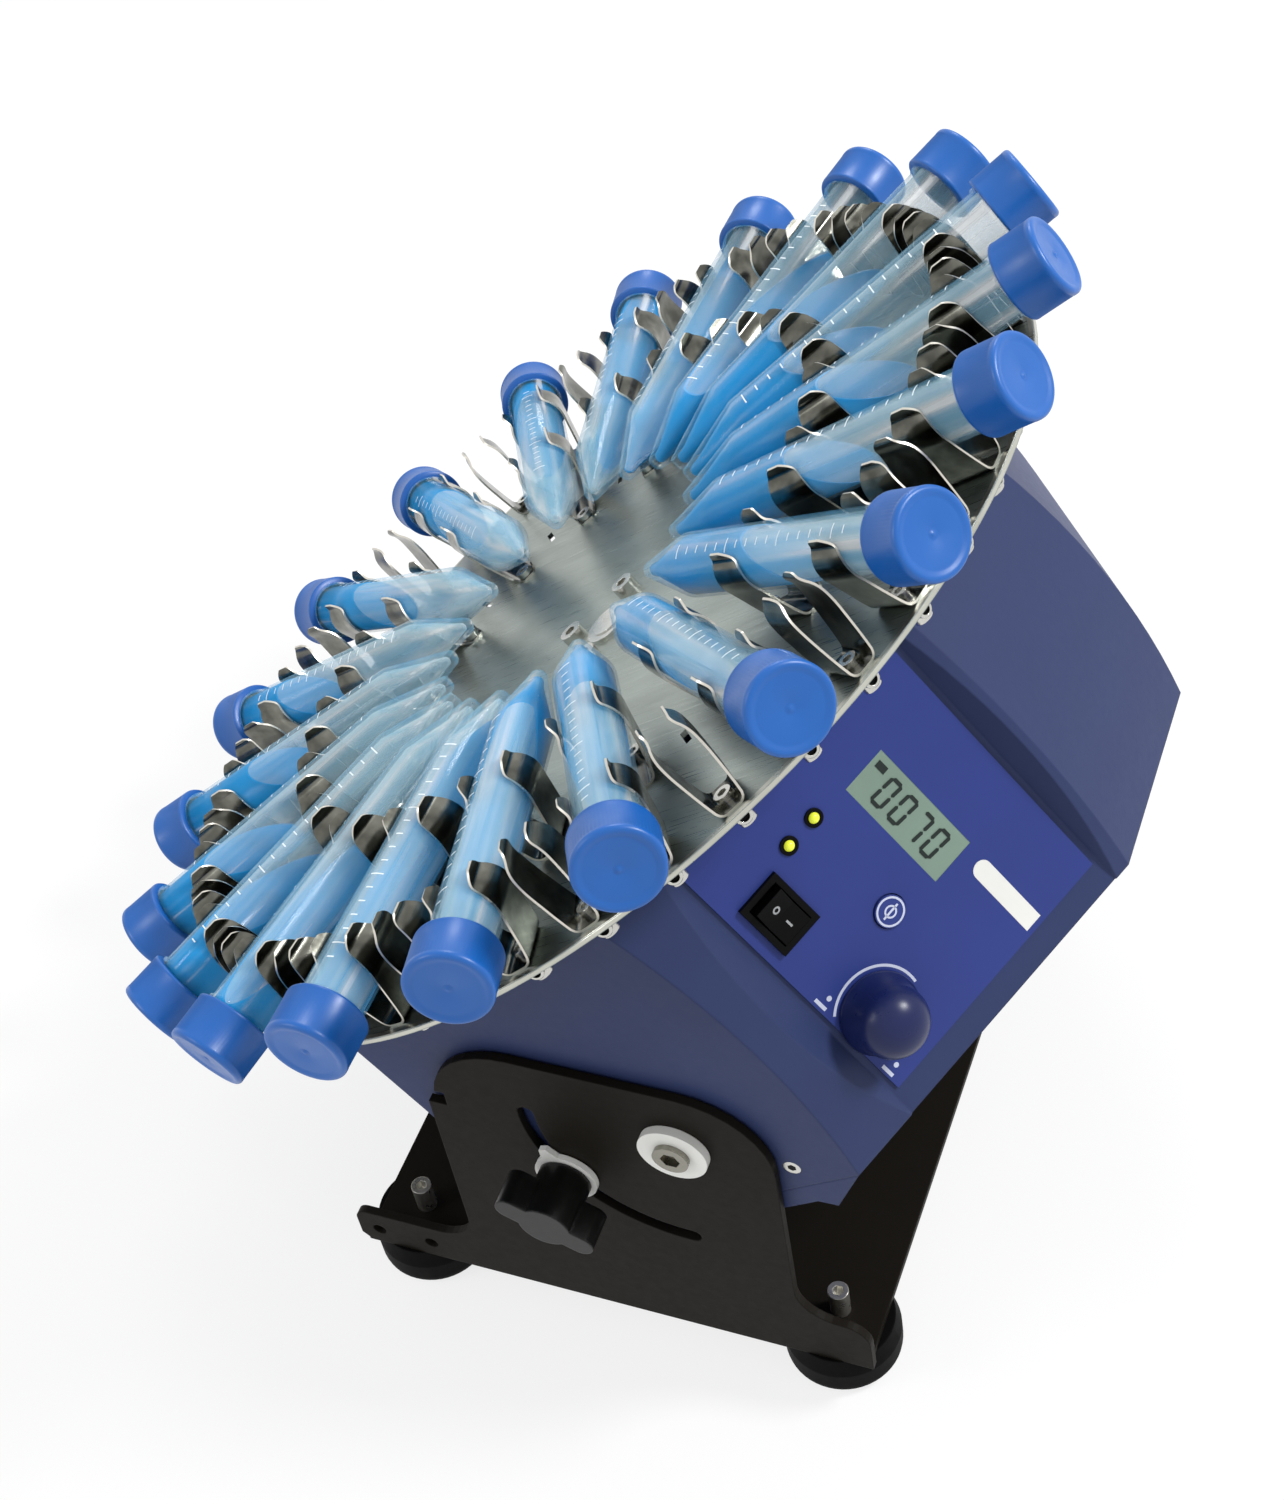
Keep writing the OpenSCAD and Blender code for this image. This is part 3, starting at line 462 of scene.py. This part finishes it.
def lathe(name, profile, sides=48, ribs=None, smooth=True):
    """Turns a profile of (radius, height) points about Z; ribs(i) moves side i outwards."""
    verts, faces, rings = [], [], []
    for r, z in profile:
        if r < 1e-6:
            rings.append([len(verts)])
            verts.append((0, 0, z))
            continue
        ring = []
        for i in range(sides):
            a = 2 * math.pi * i / sides
            rr = r + (ribs(i, r, z) if ribs else 0)
            ring.append(len(verts))
            verts.append((rr * math.cos(a), rr * math.sin(a), z))
        rings.append(ring)
    for lo, hi in zip(rings, rings[1:]):
        for i in range(sides):
            j = (i + 1) % sides
            if len(lo) == 1 and len(hi) == 1:
                continue
            if len(lo) == 1:
                faces.append((lo[0], hi[j], hi[i]))
            elif len(hi) == 1:
                faces.append((lo[i], lo[j], hi[0]))
            else:
                faces.append((lo[i], lo[j], hi[j], hi[i]))
    return mesh_from(name, verts, faces, smooth)


def flat_shape(name, outline, height, thick):
    """A thin prism over an outline in the XY plane, whose face is at the given height."""
    n = len(outline)
    verts = [(x, y, height - thick) for x, y in outline] + [(x, y, height) for x, y in outline]
    faces = [tuple(range(n, 2 * n)), tuple(reversed(range(n)))]
    faces += [(i, (i + 1) % n, n + (i + 1) % n, n + i) for i in range(n)]
    return mesh_from(name, verts, faces, False)


def arc(cx, cy, r, a0, a1, n):
    """Points on an arc, in n steps."""
    return [(cx + r * math.cos(math.radians(a0 + (a1 - a0) * k / n)),
             cy + r * math.sin(math.radians(a0 + (a1 - a0) * k / n))) for k in range(n + 1)]


def ring_band(cx, cy, r, width, a0, a1, n=48):
    """Outline of a curved stroke."""
    return arc(cx, cy, r + width / 2, a0, a1, n) + arc(cx, cy, r - width / 2, a1, a0, n)


def joined(name, meshes):
    """One mesh from several."""
    bm = bmesh.new()
    for m in meshes:
        bm.from_mesh(m)
    out = bpy.data.meshes.new(name)
    bm.to_mesh(out)
    bm.free()
    return out


# ------------------------------------------------------------------ tubes
def bore(grow):
    """Profile of a tube's bore from its rounded tip up, grown by a little."""
    r = TUBE_R - TUBE_WALL + grow
    tip_r, tip_z = 1.6 + grow, 3.6
    top = TUBE_LENGTH - 2.4
    tip = [(0, tip_z - tip_r)] + [(tip_r * math.sin(math.radians(a)),
                                   tip_z - tip_r * math.cos(math.radians(a))) for a in (30, 60)]
    return tip + [(0.28 * r, 5.4), (r, CONE_LENGTH + 0.4), (r, top), (0, top)]


def below(whole, matrix, level):
    """The share of a closed form that lies below a level, with a flat top."""
    cut = whole.copy()
    inverse = matrix.inverted()
    here = inverse @ Vector((matrix.translation.x, matrix.translation.y, level))
    up = (inverse.to_3x3() @ Vector((0, 0, 1))).normalized()
    got = bmesh.ops.bisect_plane(cut, geom=cut.verts[:] + cut.edges[:] + cut.faces[:],
                                 plane_co=here, plane_no=up, clear_outer=True)
    rim = [g for g in got["geom_cut"] if isinstance(g, bmesh.types.BMEdge)]
    bmesh.ops.holes_fill(cut, edges=rim)
    return cut


def pool(mesh, matrix, fill):
    """The liquid that fills a share of a tube and lies level. Its height is found by halving."""
    halvings = 14
    whole = bmesh.new()
    whole.from_mesh(mesh)
    wanted = abs(whole.calc_volume()) * fill
    heights = [(matrix @ v.co).z for v in whole.verts]
    low, high = min(heights), max(heights)
    for _ in range(halvings):
        level = (low + high) / 2
        cut = below(whole, matrix, level)
        if abs(cut.calc_volume()) < wanted:
            low = level
        else:
            high = level
        cut.free()
    liquid_part = below(whole, matrix, level)
    out = bpy.data.meshes.new("liquid")
    liquid_part.to_mesh(out)
    liquid_part.free()
    whole.free()
    for p in out.polygons:
        p.use_smooth = len(p.vertices) < 6
    return out


def tube_shell():
    """Profile of a thin-walled conical tube with a collar, closed all round."""
    collar_r = TUBE_R + 0.7
    cap_base = TUBE_LENGTH - CAP_LENGTH
    tip = [(0, 0.0), (1.5, 0.0)] + arc(1.5, 0.9, 0.9, -60, 0, 3)
    outer = tip + [(TUBE_R, CONE_LENGTH), (TUBE_R, cap_base - 1.6), (collar_r, cap_base - 1.3),
                   (collar_r, cap_base - 0.3), (TUBE_R, cap_base), (TUBE_R, TUBE_LENGTH - 2.0)]
    inner = list(reversed(bore(0)[:-1]))
    return outer + inner


def scale_marks():
    """Printed graduations: short ticks with a longer one at every fifth, on a curved wall."""
    marks, first_z, gap, half_stroke = 17, 26.0, 4.4, 0.2
    long_sweep, short_sweep, steps = 26, 14, 5
    r = TUBE_R + 0.04
    verts, faces = [], []
    for k in range(marks):
        z = first_z + gap * k
        sweep = long_sweep if k % 5 == 0 else short_sweep
        for t in range(steps + 1):
            a = math.radians(-sweep / 2 + sweep * t / steps)
            for h in (-half_stroke, half_stroke):
                verts.append((-r * math.cos(a), r * math.sin(a), z + h))
        first = len(verts) - 2 * (steps + 1)
        for t in range(steps):
            a = first + 2 * t
            faces.append((a, a + 1, a + 3, a + 2))
    return mesh_from("tube_scale", verts, faces)


TUBE_SIDES = 48
SHELL = lathe("tube_shell", tube_shell(), TUBE_SIDES)
BORE_RINGS = len(bore(0)) - 2
for face in SHELL.polygons[-BORE_RINGS * TUBE_SIDES:]:
    face.material_index = 1
SCALE = scale_marks()
# The tubes were put in and filled by hand, so their scales don't quite line up, and their
# levels differ. Sines of i scatter both.
SCALE_ROLL = 24
FILL, FILL_SPREAD = 0.42, 0.05
for i in range(TUBE_COUNT):
    shell = add(f"tube_shell_{i + 1}", SHELL, "rotor", tube_frame(i),
                [MATS["tube"], MATS["bore"]])
    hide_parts(f"tube_{i + 1}")
    rolled = SCALE_ROLL * math.sin(i * 3.7)
    add(f"tube_scale_{i + 1}", SCALE, "rotor",
        tube_frame(i) @ turn(rolled, "Z"), [MATS["scale"]])

# The liquid wets the wall, so its skin lies a little inside the plastic
WETTING = 0.35
INSIDE = lathe("tube_inside", bore(WETTING), TUBE_SIDES)
for i in range(TUBE_COUNT):
    here = tube_frame(i)
    filled = pool(INSIDE, here, FILL + FILL_SPREAD * math.sin(i * 2.4))
    add(f"liquid_{i + 1}", filled, "rotor", here, [MATS["liquid"]])


def cap_mesh():
    """A screw cap with fine ribs, a rolled rim, a dished top and a small gate mark."""
    top = TUBE_LENGTH
    base = top - CAP_LENGTH
    rib_depth, roll = 0.28, 1.15
    roll_r, roll_z = CAP_R - 1.2, top - 1.2

    def ribs(i, r, z):
        ribbed = base + 0.8 < z < top - 1.9 and r > CAP_R - 0.4
        return -rib_depth if ribbed and i % 2 == 0 else 0.0

    side = [(TUBE_R + 0.05, base), (CAP_R - 0.35, base), (CAP_R - 0.1, base + 0.3),
            (CAP_R - 0.05, base + 0.9), (CAP_R - 0.1, base + 1.2), (CAP_R - 0.12, top - 2.3),
            (CAP_R - 0.05, top - 1.8)]
    rim = arc(roll_r, roll_z, roll, 0, 90, 5)
    dish = [(CAP_R - 1.9, top - 0.15), (CAP_R - 2.5, top - 0.45), (CAP_R - 3.1, top - 0.5)]
    gate = [(1.6, top - 0.55), (1.0, top - 0.75), (0.5, top - 0.4), (0, top - 0.35)]
    return lathe("tube_cap", side + rim + dish + gate, 144, ribs)


CAP = cap_mesh()
caps = [add(f"cap_{i + 1}", CAP, "rotor", tube_frame(i), [MATS["cap"]])
        for i in range(TUBE_COUNT)]
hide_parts("tube_caps")


# ------------------------------------------------------------------ spring clips
def eased(points, rounds=2):
    """Corner cutting: the same line with its bends rounded."""
    for _ in range(rounds):
        out = [points[0]]
        for a, b in zip(points, points[1:]):
            out.append(tuple(0.75 * p + 0.25 * q for p, q in zip(a, b)))
            out.append(tuple(0.25 * p + 0.75 * q for p, q in zip(a, b)))
        out.append(points[-1])
        points = out
    return points


def tube_leaf():
    """Inner face of half a clip for a sample tube, as the CAD has it: across, and up."""
    grip = TUBE_R + 0.1
    lift = TUBE_PLANE - DISC_TOP
    return [(FOOT_HALF, CLIP_SHEET), (0.57 * grip, 4.4)] + arc(0, lift, grip, -24, 40, 8) + [
        (0.74 * grip, lift + 6.8), (0.85 * grip, LEAF_TOP)]


def small_leaf():
    """The same for the empty clips between the tubes."""
    grip = SMALL_GRIP
    return [(FOOT_HALF, CLIP_SHEET), (0.78 * grip, 5.0), (0.9 * grip, 11.0), (grip, 17.3),
            (0.97 * grip, 22.2), (0.62 * grip, 25.6), (0.72 * grip, LEAF_TOP)]


def leaf_width(share):
    """Half width of a leaf, from its foot (0) to its rounded tip (1)."""
    straight, taper = 0.5, 0.08
    if share < straight:
        return CLIP_HALF * (1 - taper * share / straight)
    past = (share - straight) / (1 - straight)
    return CLIP_HALF * (1 - taper) * math.sqrt(max(0.0, 1 - 0.93 * past ** 2.4))


def clip_mesh(name, leaf, tongue):
    """A bent strip with two petal-shaped leaves: faces dark with painted reflection, cut edges
    bright with painted highlight.

    The strip runs across the tube, from one leaf's tip over the foot to the other's. At each
    of its points stand two rows of corners, one for each face of the sheet. A tongue makes the
    foot longer on one side.
    """
    # The faces take the steel with painted reflection, the cut edges the one with painted highlight
    painted_reflection_slot, painted_highlight_slot = 0, 1
    tongue_half, tongue_fade, foot_top = 2.4, 1.2, 2
    half = eased([(0.0, CLIP_SHEET)] + leaf)
    line = [(-y, z) for y, z in reversed(half[1:])] + half
    steps = [0.0]
    for a, b in zip(half, half[1:]):
        steps.append(steps[-1] + math.dist(a, b))
    shares = [t / steps[-1] for t in steps]
    shares = list(reversed(shares[1:])) + shares
    columns = 6
    across = columns + 1
    row = 2 * across
    verts, faces, mats = [], [], []
    for k, ((y, z), share) in enumerate(zip(line, shares)):
        before, after = line[max(k - 1, 0)], line[min(k + 1, len(line) - 1)]
        size = math.dist(before, after)
        out = ((after[1] - before[1]) / size, -(after[0] - before[0]) / size)
        wide = leaf_width(share)
        past = max(0.0, abs(y) - tongue_half)
        foot = max(0.0, 1 - past / tongue_fade) if z < foot_top else 0.0
        for depth in (0, CLIP_SHEET):
            for c in range(across):
                t = 2 * c / columns - 1
                x = t * wide - (tongue * foot * (1 - t) / 2)
                verts.append((x, y + depth * out[0], z + depth * out[1]))
    for k in range(len(line) - 1):
        p, q = k * row, (k + 1) * row
        for c in range(columns):
            faces.append((p + c, p + c + 1, q + c + 1, q + c))
            faces.append((p + across + c + 1, p + across + c, q + across + c, q + across + c + 1))
            mats += [painted_reflection_slot, painted_reflection_slot]
        for c, flip in ((0, False), (columns, True)):
            side = (p + c, q + c, q + across + c, p + across + c)
            faces.append(side[::-1] if flip else side)
            mats.append(painted_highlight_slot)
    for p, flip in ((0, False), ((len(line) - 1) * row, True)):
        for c in range(columns):
            end = (p + c, p + across + c, p + across + c + 1, p + c + 1)
            faces.append(end[::-1] if flip else end)
            mats.append(painted_highlight_slot)
    mesh = mesh_from(name, verts, faces, True, mats)
    bm = bmesh.new()
    bm.from_mesh(mesh)
    bmesh.ops.recalc_face_normals(bm, faces=bm.faces)
    for e in bm.edges:
        if len({f.material_index for f in e.link_faces}) > 1:
            e.smooth = False
    bm.to_mesh(mesh)
    bm.free()
    return mesh


TUBE_CLIP = clip_mesh("tube_clip", tube_leaf(), 0.0)
INNER_CLIP = clip_mesh("inner_clip", tube_leaf(), INNER_TONGUE)
SMALL_CLIP = clip_mesh("small_clip", small_leaf(), 0.0)
for node_name, mesh, radius, offset in (("inner_clips", INNER_CLIP, INNER_LEAF_R, 0),
                                        ("outer_clips", TUBE_CLIP, OUTER_LEAF_R, 0),
                                        ("small_clips", SMALL_CLIP, OUTER_LEAF_R, 0.5)):
    row = [add(f"{node_name[:-1]}_{i + 1}", mesh, "rotor",
               at_radius(radius, (i + offset) * PITCH, DISC_TOP), [MATS["spring"], MATS["edge"]])
           for i in range(TUBE_COUNT)]
    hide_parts(node_name)


# ------------------------------------------------------------------ disc rim
def rim_mesh():
    """The disc's edge, in a lighter copy of its steel that is painted highlight."""
    band, proud, bevel = 1.6, 0.05, 0.3
    r0, r1 = DISC_R - band, DISC_R + proud
    z0, z1 = DISC_BACK - proud, DISC_TOP + proud
    loop = [(r0, z0), (r1 - bevel, z0), (r1, z0 + bevel), (r1, z1 - bevel), (r1 - bevel, z1),
            (r0, z1), (r0, z0)]
    return lathe("disc_rim", loop, 180, smooth=False)


add("disc_rim", rim_mesh(), "rotor", ROTOR, [MATS["rim"]])


# ------------------------------------------------------------------ cross holes of the nuts
EYE_BORE = 1.4


def nut_eye():
    """The cross hole of a long round nut: a small turned boss whose bore is black, as painted
    shade.
    """
    back, rim_r, rim, floor_z = 1.0, 2.2, 3.2, 2.55
    mesh = lathe("nut_eye", [(0, back), (rim_r, back), (rim_r, rim - 0.2), (rim_r - 0.2, rim),
                             (EYE_BORE, rim), (EYE_BORE, floor_z), (0, floor_z)], 24, smooth=False)
    for p in mesh.polygons:
        reach = max(mesh.vertices[v].co.xy.length for v in p.vertices)
        # Painted shade: the faces inside the bore take black plastic, for the shade in the hole
        bore_shade = reach < (EYE_BORE + 0.05) * MM and p.center.z > (back + 0.2) * MM
        p.material_index = 1 if bore_shade else 0
    return mesh


NUT_EYE = nut_eye()
for i in range(2 * TUBE_COUNT):
    here = at_radius(NUT_R, i * PITCH / 2, DISC_BACK - NUT_LENGTH / 2) @ turn(90, "Y")
    add(f"nut_eye_{i + 1}", NUT_EYE, "rotor", here,
        [MATS["bright"], MATS["black"]])


# ------------------------------------------------------------------ housing screws
def hexagon(r):
    """A hexagon's outline."""
    return arc(0, 0, r, 0, 300, 5)


# Painted shade: a flat black hexagon on each side screw's head stands for the shade in its hex
# socket
SOCKET_SHADE = flat_shape("screw_socket_shade", hexagon(1.25), 0.03, 0.02)
SIDES = {"near": -1, "far": 1}
for side_name, side in SIDES.items():
    for k, x in enumerate(SIDE_SCREWS_X):
        here = HEAD @ shift(x, side * BODY_HALF_WIDTH, SCREW_Z) @ turn(-90 * side, "X")
        add(f"side_socket_shade_{k + 1}_{side_name}", SOCKET_SHADE, "head", here,
            [MATS["black"]])


# ------------------------------------------------------------------ panel
def box_outline(x0, y0, x1, y1):
    """A rectangle's outline."""
    return [(x0, y0), (x1, y0), (x1, y1), (x0, y1)]


INK_HEIGHT = 0.03
INK_SHEET = 0.025


def panel_print(name, outlines, at=(0.0, 0.0), face=LABEL_FACE):
    """Thin printed shapes on the panel's face."""
    meshes = [flat_shape(name, [(x + at[0], y + at[1]) for x, y in o], face + INK_HEIGHT,
                         INK_SHEET) for o in outlines]
    return joined(name, meshes)


def knob_print():
    """The scale arc round the speed knob, with a mark at each end."""
    scale_r, stroke, start, end, dot_r = 12.2, 0.75, 80, 224, 0.75
    marks = [ring_band(*KNOB_AT, scale_r, stroke, start, end)]
    for x, y in ((8.2, -43.9), (35.4, -44.1)):
        marks.append(box_outline(x - 2.6, y - 1.7, x + 1.6, y - 0.7))
        marks.append(arc(x + 0.2, y + 1.4, dot_r, 0, 330, 11))
    return panel_print("knob_scale", marks)


def maker_plate():
    """A blank plate where the photo has a maker's sign, rounded at its left end."""
    low, high, left, right = 5.0, 10.3, 14.5, 38.8
    r = (high - low) / 2
    shape = arc(left + r, low + r, r, 90, 270, 12) + [(right, low), (right, high)]
    return panel_print("blank_plate", [shape])


SEGMENTS = {"0": "abcdef", "7": "abc"}


def digit_segments(letter, x, y, wide, tall, s):
    """The lit bars of one display digit, as leaning outlines with a stroke of s."""
    gap, lean = 0.14, 0.1
    mid = tall / 2
    bars = {
        "a": (s * 0.6, tall - s, wide - s * 0.6, tall), "d": (s * 0.6, 0, wide - s * 0.6, s),
        "b": (wide - s, mid + gap, wide, tall - s * 0.5), "c": (wide - s, s * 0.5, wide, mid - gap),
        "e": (0, s * 0.5, s, mid - gap), "f": (0, mid + gap, s, tall - s * 0.5),
    }
    shapes = []
    for key in SEGMENTS[letter]:
        x0, y0, x1, y1 = bars[key]
        cut = s * 0.4
        if x1 - x0 > y1 - y0:
            shape = [(x0 + cut, y0), (x1 - cut, y0), (x1, (y0 + y1) / 2), (x1 - cut, y1),
                     (x0 + cut, y1), (x0, (y0 + y1) / 2)]
        else:
            shape = [((x0 + x1) / 2, y0), (x1, y0 + cut), (x1, y1 - cut), ((x0 + x1) / 2, y1),
                     (x0, y1 - cut), (x0, y0 + cut)]
        shapes.append([(x + px + lean * py, y + py) for px, py in shape])
    return shapes


def display_digits():
    """The speed on the display, and the block before it."""
    first_x, gap, low_y = -11.6, 6.5, -4.4
    wide, tall, stroke = 4.5, 8.8, 1.05
    shapes = []
    for k, letter in enumerate("0070"):
        shapes += digit_segments(letter, first_x + gap * k, low_y, wide, tall, stroke)
    shapes.append(box_outline(-16.4, 2.6, -13.0, 4.6))
    return panel_print("display_digits", shapes, DISPLAY_AT)


def button_print():
    """The button's symbol: a ring, and a smaller one with a bar through it."""
    marks = [ring_band(0, 0, 3.7, 0.55, 0, 359), ring_band(0, 0, 1.5, 0.5, 0, 359),
             box_outline(-0.3, -2.6, 0.3, 2.6)]
    return panel_print("button_ring", marks, BUTTON_AT, BUTTON_PROUD)


add("knob_scale", knob_print(), "head", PANEL, [MATS["print"]])
add("blank_plate", maker_plate(), "head", PANEL, [MATS["white"]])
add("display_digits", display_digits(), "head", PANEL, [MATS["digits"]])
add("button_ring", button_print(), "button", PANEL, [MATS["print"]])


def rocker_marks():
    """A ring on the raised half of the rocker and a bar on the pressed half."""
    fall = math.degrees(math.atan2(ROCKER_END - ROCKER_MIDDLE, ROCKER_REACH))
    pin = PANEL @ shift(*SWITCH_AT, ROCKER_PIN_Z)
    base = pin @ turn(ROCKER_THROW, "Y") @ shift(0, 0, ROCKER_MIDDLE)
    off = flat_shape("off_mark", ring_band(-2.5, 0, 0.85, 0.5, 0, 359), 0.04, 0.03)
    on = flat_shape("on_mark", box_outline(1.9, -0.3, 4.0, 0.3), 0.04, 0.03)
    add("off_mark", off, "rocker", base @ turn(fall, "Y"), [MATS["grey_print"]])
    add("on_mark", on, "rocker", base @ turn(-fall, "Y"), [MATS["grey_print"]])


rocker_marks()


def knob_mesh():
    """The speed knob: a narrow skirt, a tapered waist and a high dome."""
    foot, waist, shoulder, top = 0.8, 2.2, 8.2, 16.4
    skirt_r, dome_r = 11.0, 9.6
    dome = [(dome_r * math.cos(math.radians(a)),
             shoulder + (top - shoulder) * math.sin(math.radians(a))) for a in range(0, 85, 6)]
    skirt = [(0, foot), (skirt_r, foot), (skirt_r + 0.1, foot + 0.3), (skirt_r - 0.1, waist),
             (skirt_r - 0.7, waist + 0.6)]
    return lathe("speed_knob_shape", skirt + dome + [(0, top)], 96)


knob = add("speed_knob_shape", knob_mesh(), "speed_dial",
           PANEL @ shift(*KNOB_AT, 0), [MATS["navy"]])
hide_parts("speed_knob")


# ------------------------------------------------------------------ camera, light, floor
def look():
    """The camera that took the photograph."""
    cam = bpy.data.cameras.new("camera")
    cam.sensor_width = 36
    cam.lens = FOCAL_PX / PHOTO_HEIGHT_PX * cam.sensor_width
    cam.clip_start, cam.clip_end = 0.05, 20
    obj = bpy.data.objects.new("camera", cam)
    bpy.context.scene.collection.objects.link(obj)
    back = CAMERA_RIGHT.cross(CAMERA_UP)
    m = Matrix((CAMERA_RIGHT, CAMERA_UP, back)).transposed().to_4x4()
    m.translation = CAMERA_AT
    obj.matrix_world = m
    bpy.context.scene.camera = obj


# Round lamps that all face the middle of the part: place and size in metres, power in watts
AIM = (0.0, 0.0, 0.15)
LAMPS = {
    "key": ((1.0, 0.35, 1.3), 0.35, 18),
    "fill": ((-0.9, -0.8, 1.0), 0.5, 4),
    "back": ((-0.4, 1.1, 1.2), 0.4, 6),
}


def lamp_at(name, place, size, power):
    """One of the round lamps."""
    light = bpy.data.lights.new(name, "AREA")
    light.shape = "DISK"
    light.size = size
    light.energy = power
    obj = bpy.data.objects.new(name, light)
    bpy.context.scene.collection.objects.link(obj)
    obj.location = place
    obj.rotation_euler = (Vector(AIM) - Vector(place)).to_track_quat("-Z", "Y").to_euler()


def wired(tree, kind, *sources, operation=None):
    """A new shader node whose first inputs are fed by the given outputs."""
    n = tree.nodes.new(kind)
    if operation:
        n.operation = operation
    for k, source in enumerate(sources):
        tree.links.new(source, n.inputs[k])
    return n


def seen_only(tree, lit, shown, out, share=None):
    """Shows one shader to the camera and to reflections, and lights with another."""
    path = wired(tree, "ShaderNodeLightPath")
    mask = path.outputs["Is Camera Ray"]
    for ray in ("Is Glossy Ray", "Is Transmission Ray"):
        either = wired(tree, "ShaderNodeMath", mask, path.outputs[ray], operation="MAXIMUM")
        mask = either.outputs[0]
    if share is not None:
        mask = wired(tree, "ShaderNodeMath", mask, share, operation="MULTIPLY").outputs[0]
    mix = wired(tree, "ShaderNodeMixShader", mask, lit, shown)
    tree.links.new(mix.outputs[0], out)


def floor():
    """A pale floor that shows the part's shadow, and fades to plain white far from it."""
    half, drop, grey = 6, 0.0005, 0.9
    near, far, white_near = 0.35, 1.0, 0.78
    mesh = bpy.data.meshes.new("floor")
    corners = [(-half, -half, 0), (half, -half, 0), (half, half, 0), (-half, half, 0)]
    mesh.from_pydata(corners, [], [(0, 1, 2, 3)])
    obj = bpy.data.objects.new("floor", mesh)
    bpy.context.scene.collection.objects.link(obj)
    obj.location.z = -drop
    mat = bpy.data.materials.new("floor")
    mat.use_nodes = True
    tree = mat.node_tree
    tree.nodes.clear()
    out = tree.nodes.new("ShaderNodeOutputMaterial")
    diffuse = tree.nodes.new("ShaderNodeBsdfDiffuse")
    diffuse.inputs["Color"].default_value = (grey, grey, grey, 1)
    glow = tree.nodes.new("ShaderNodeEmission")
    glow.inputs["Strength"].default_value = 1.0
    coord = tree.nodes.new("ShaderNodeTexCoord")
    away = wired(tree, "ShaderNodeVectorMath", coord.outputs["Object"], operation="LENGTH")
    fade = tree.nodes.new("ShaderNodeMapRange")
    fade.inputs["From Min"].default_value = near
    fade.inputs["From Max"].default_value = far
    fade.inputs["To Min"].default_value = white_near
    fade.inputs["To Max"].default_value = 1.0
    tree.links.new(away.outputs["Value"], fade.inputs["Value"])
    seen_only(tree, diffuse.outputs[0], glow.outputs[0], out.inputs["Surface"],
              fade.outputs["Result"])
    mesh.materials.append(mat)


def world():
    """White to look at, and somewhat darker as a light."""
    as_light = 0.68
    w = bpy.data.worlds.new("world")
    bpy.context.scene.world = w
    w.use_nodes = True
    tree = w.node_tree
    tree.nodes.clear()
    out = tree.nodes.new("ShaderNodeOutputWorld")
    lit = tree.nodes.new("ShaderNodeBackground")
    lit.inputs["Strength"].default_value = as_light
    shown = tree.nodes.new("ShaderNodeBackground")
    shown.inputs["Strength"].default_value = 1.0
    for b in (lit, shown):
        b.inputs["Color"].default_value = (1, 1, 1, 1)
    seen_only(tree, lit.outputs[0], shown.outputs[0], out.inputs["Surface"])


look()
floor()
world()
for lamp_name, (place, size, power) in LAMPS.items():
    lamp_at(lamp_name, place, size, power)
bpy.context.scene.view_settings.view_transform = "Standard"
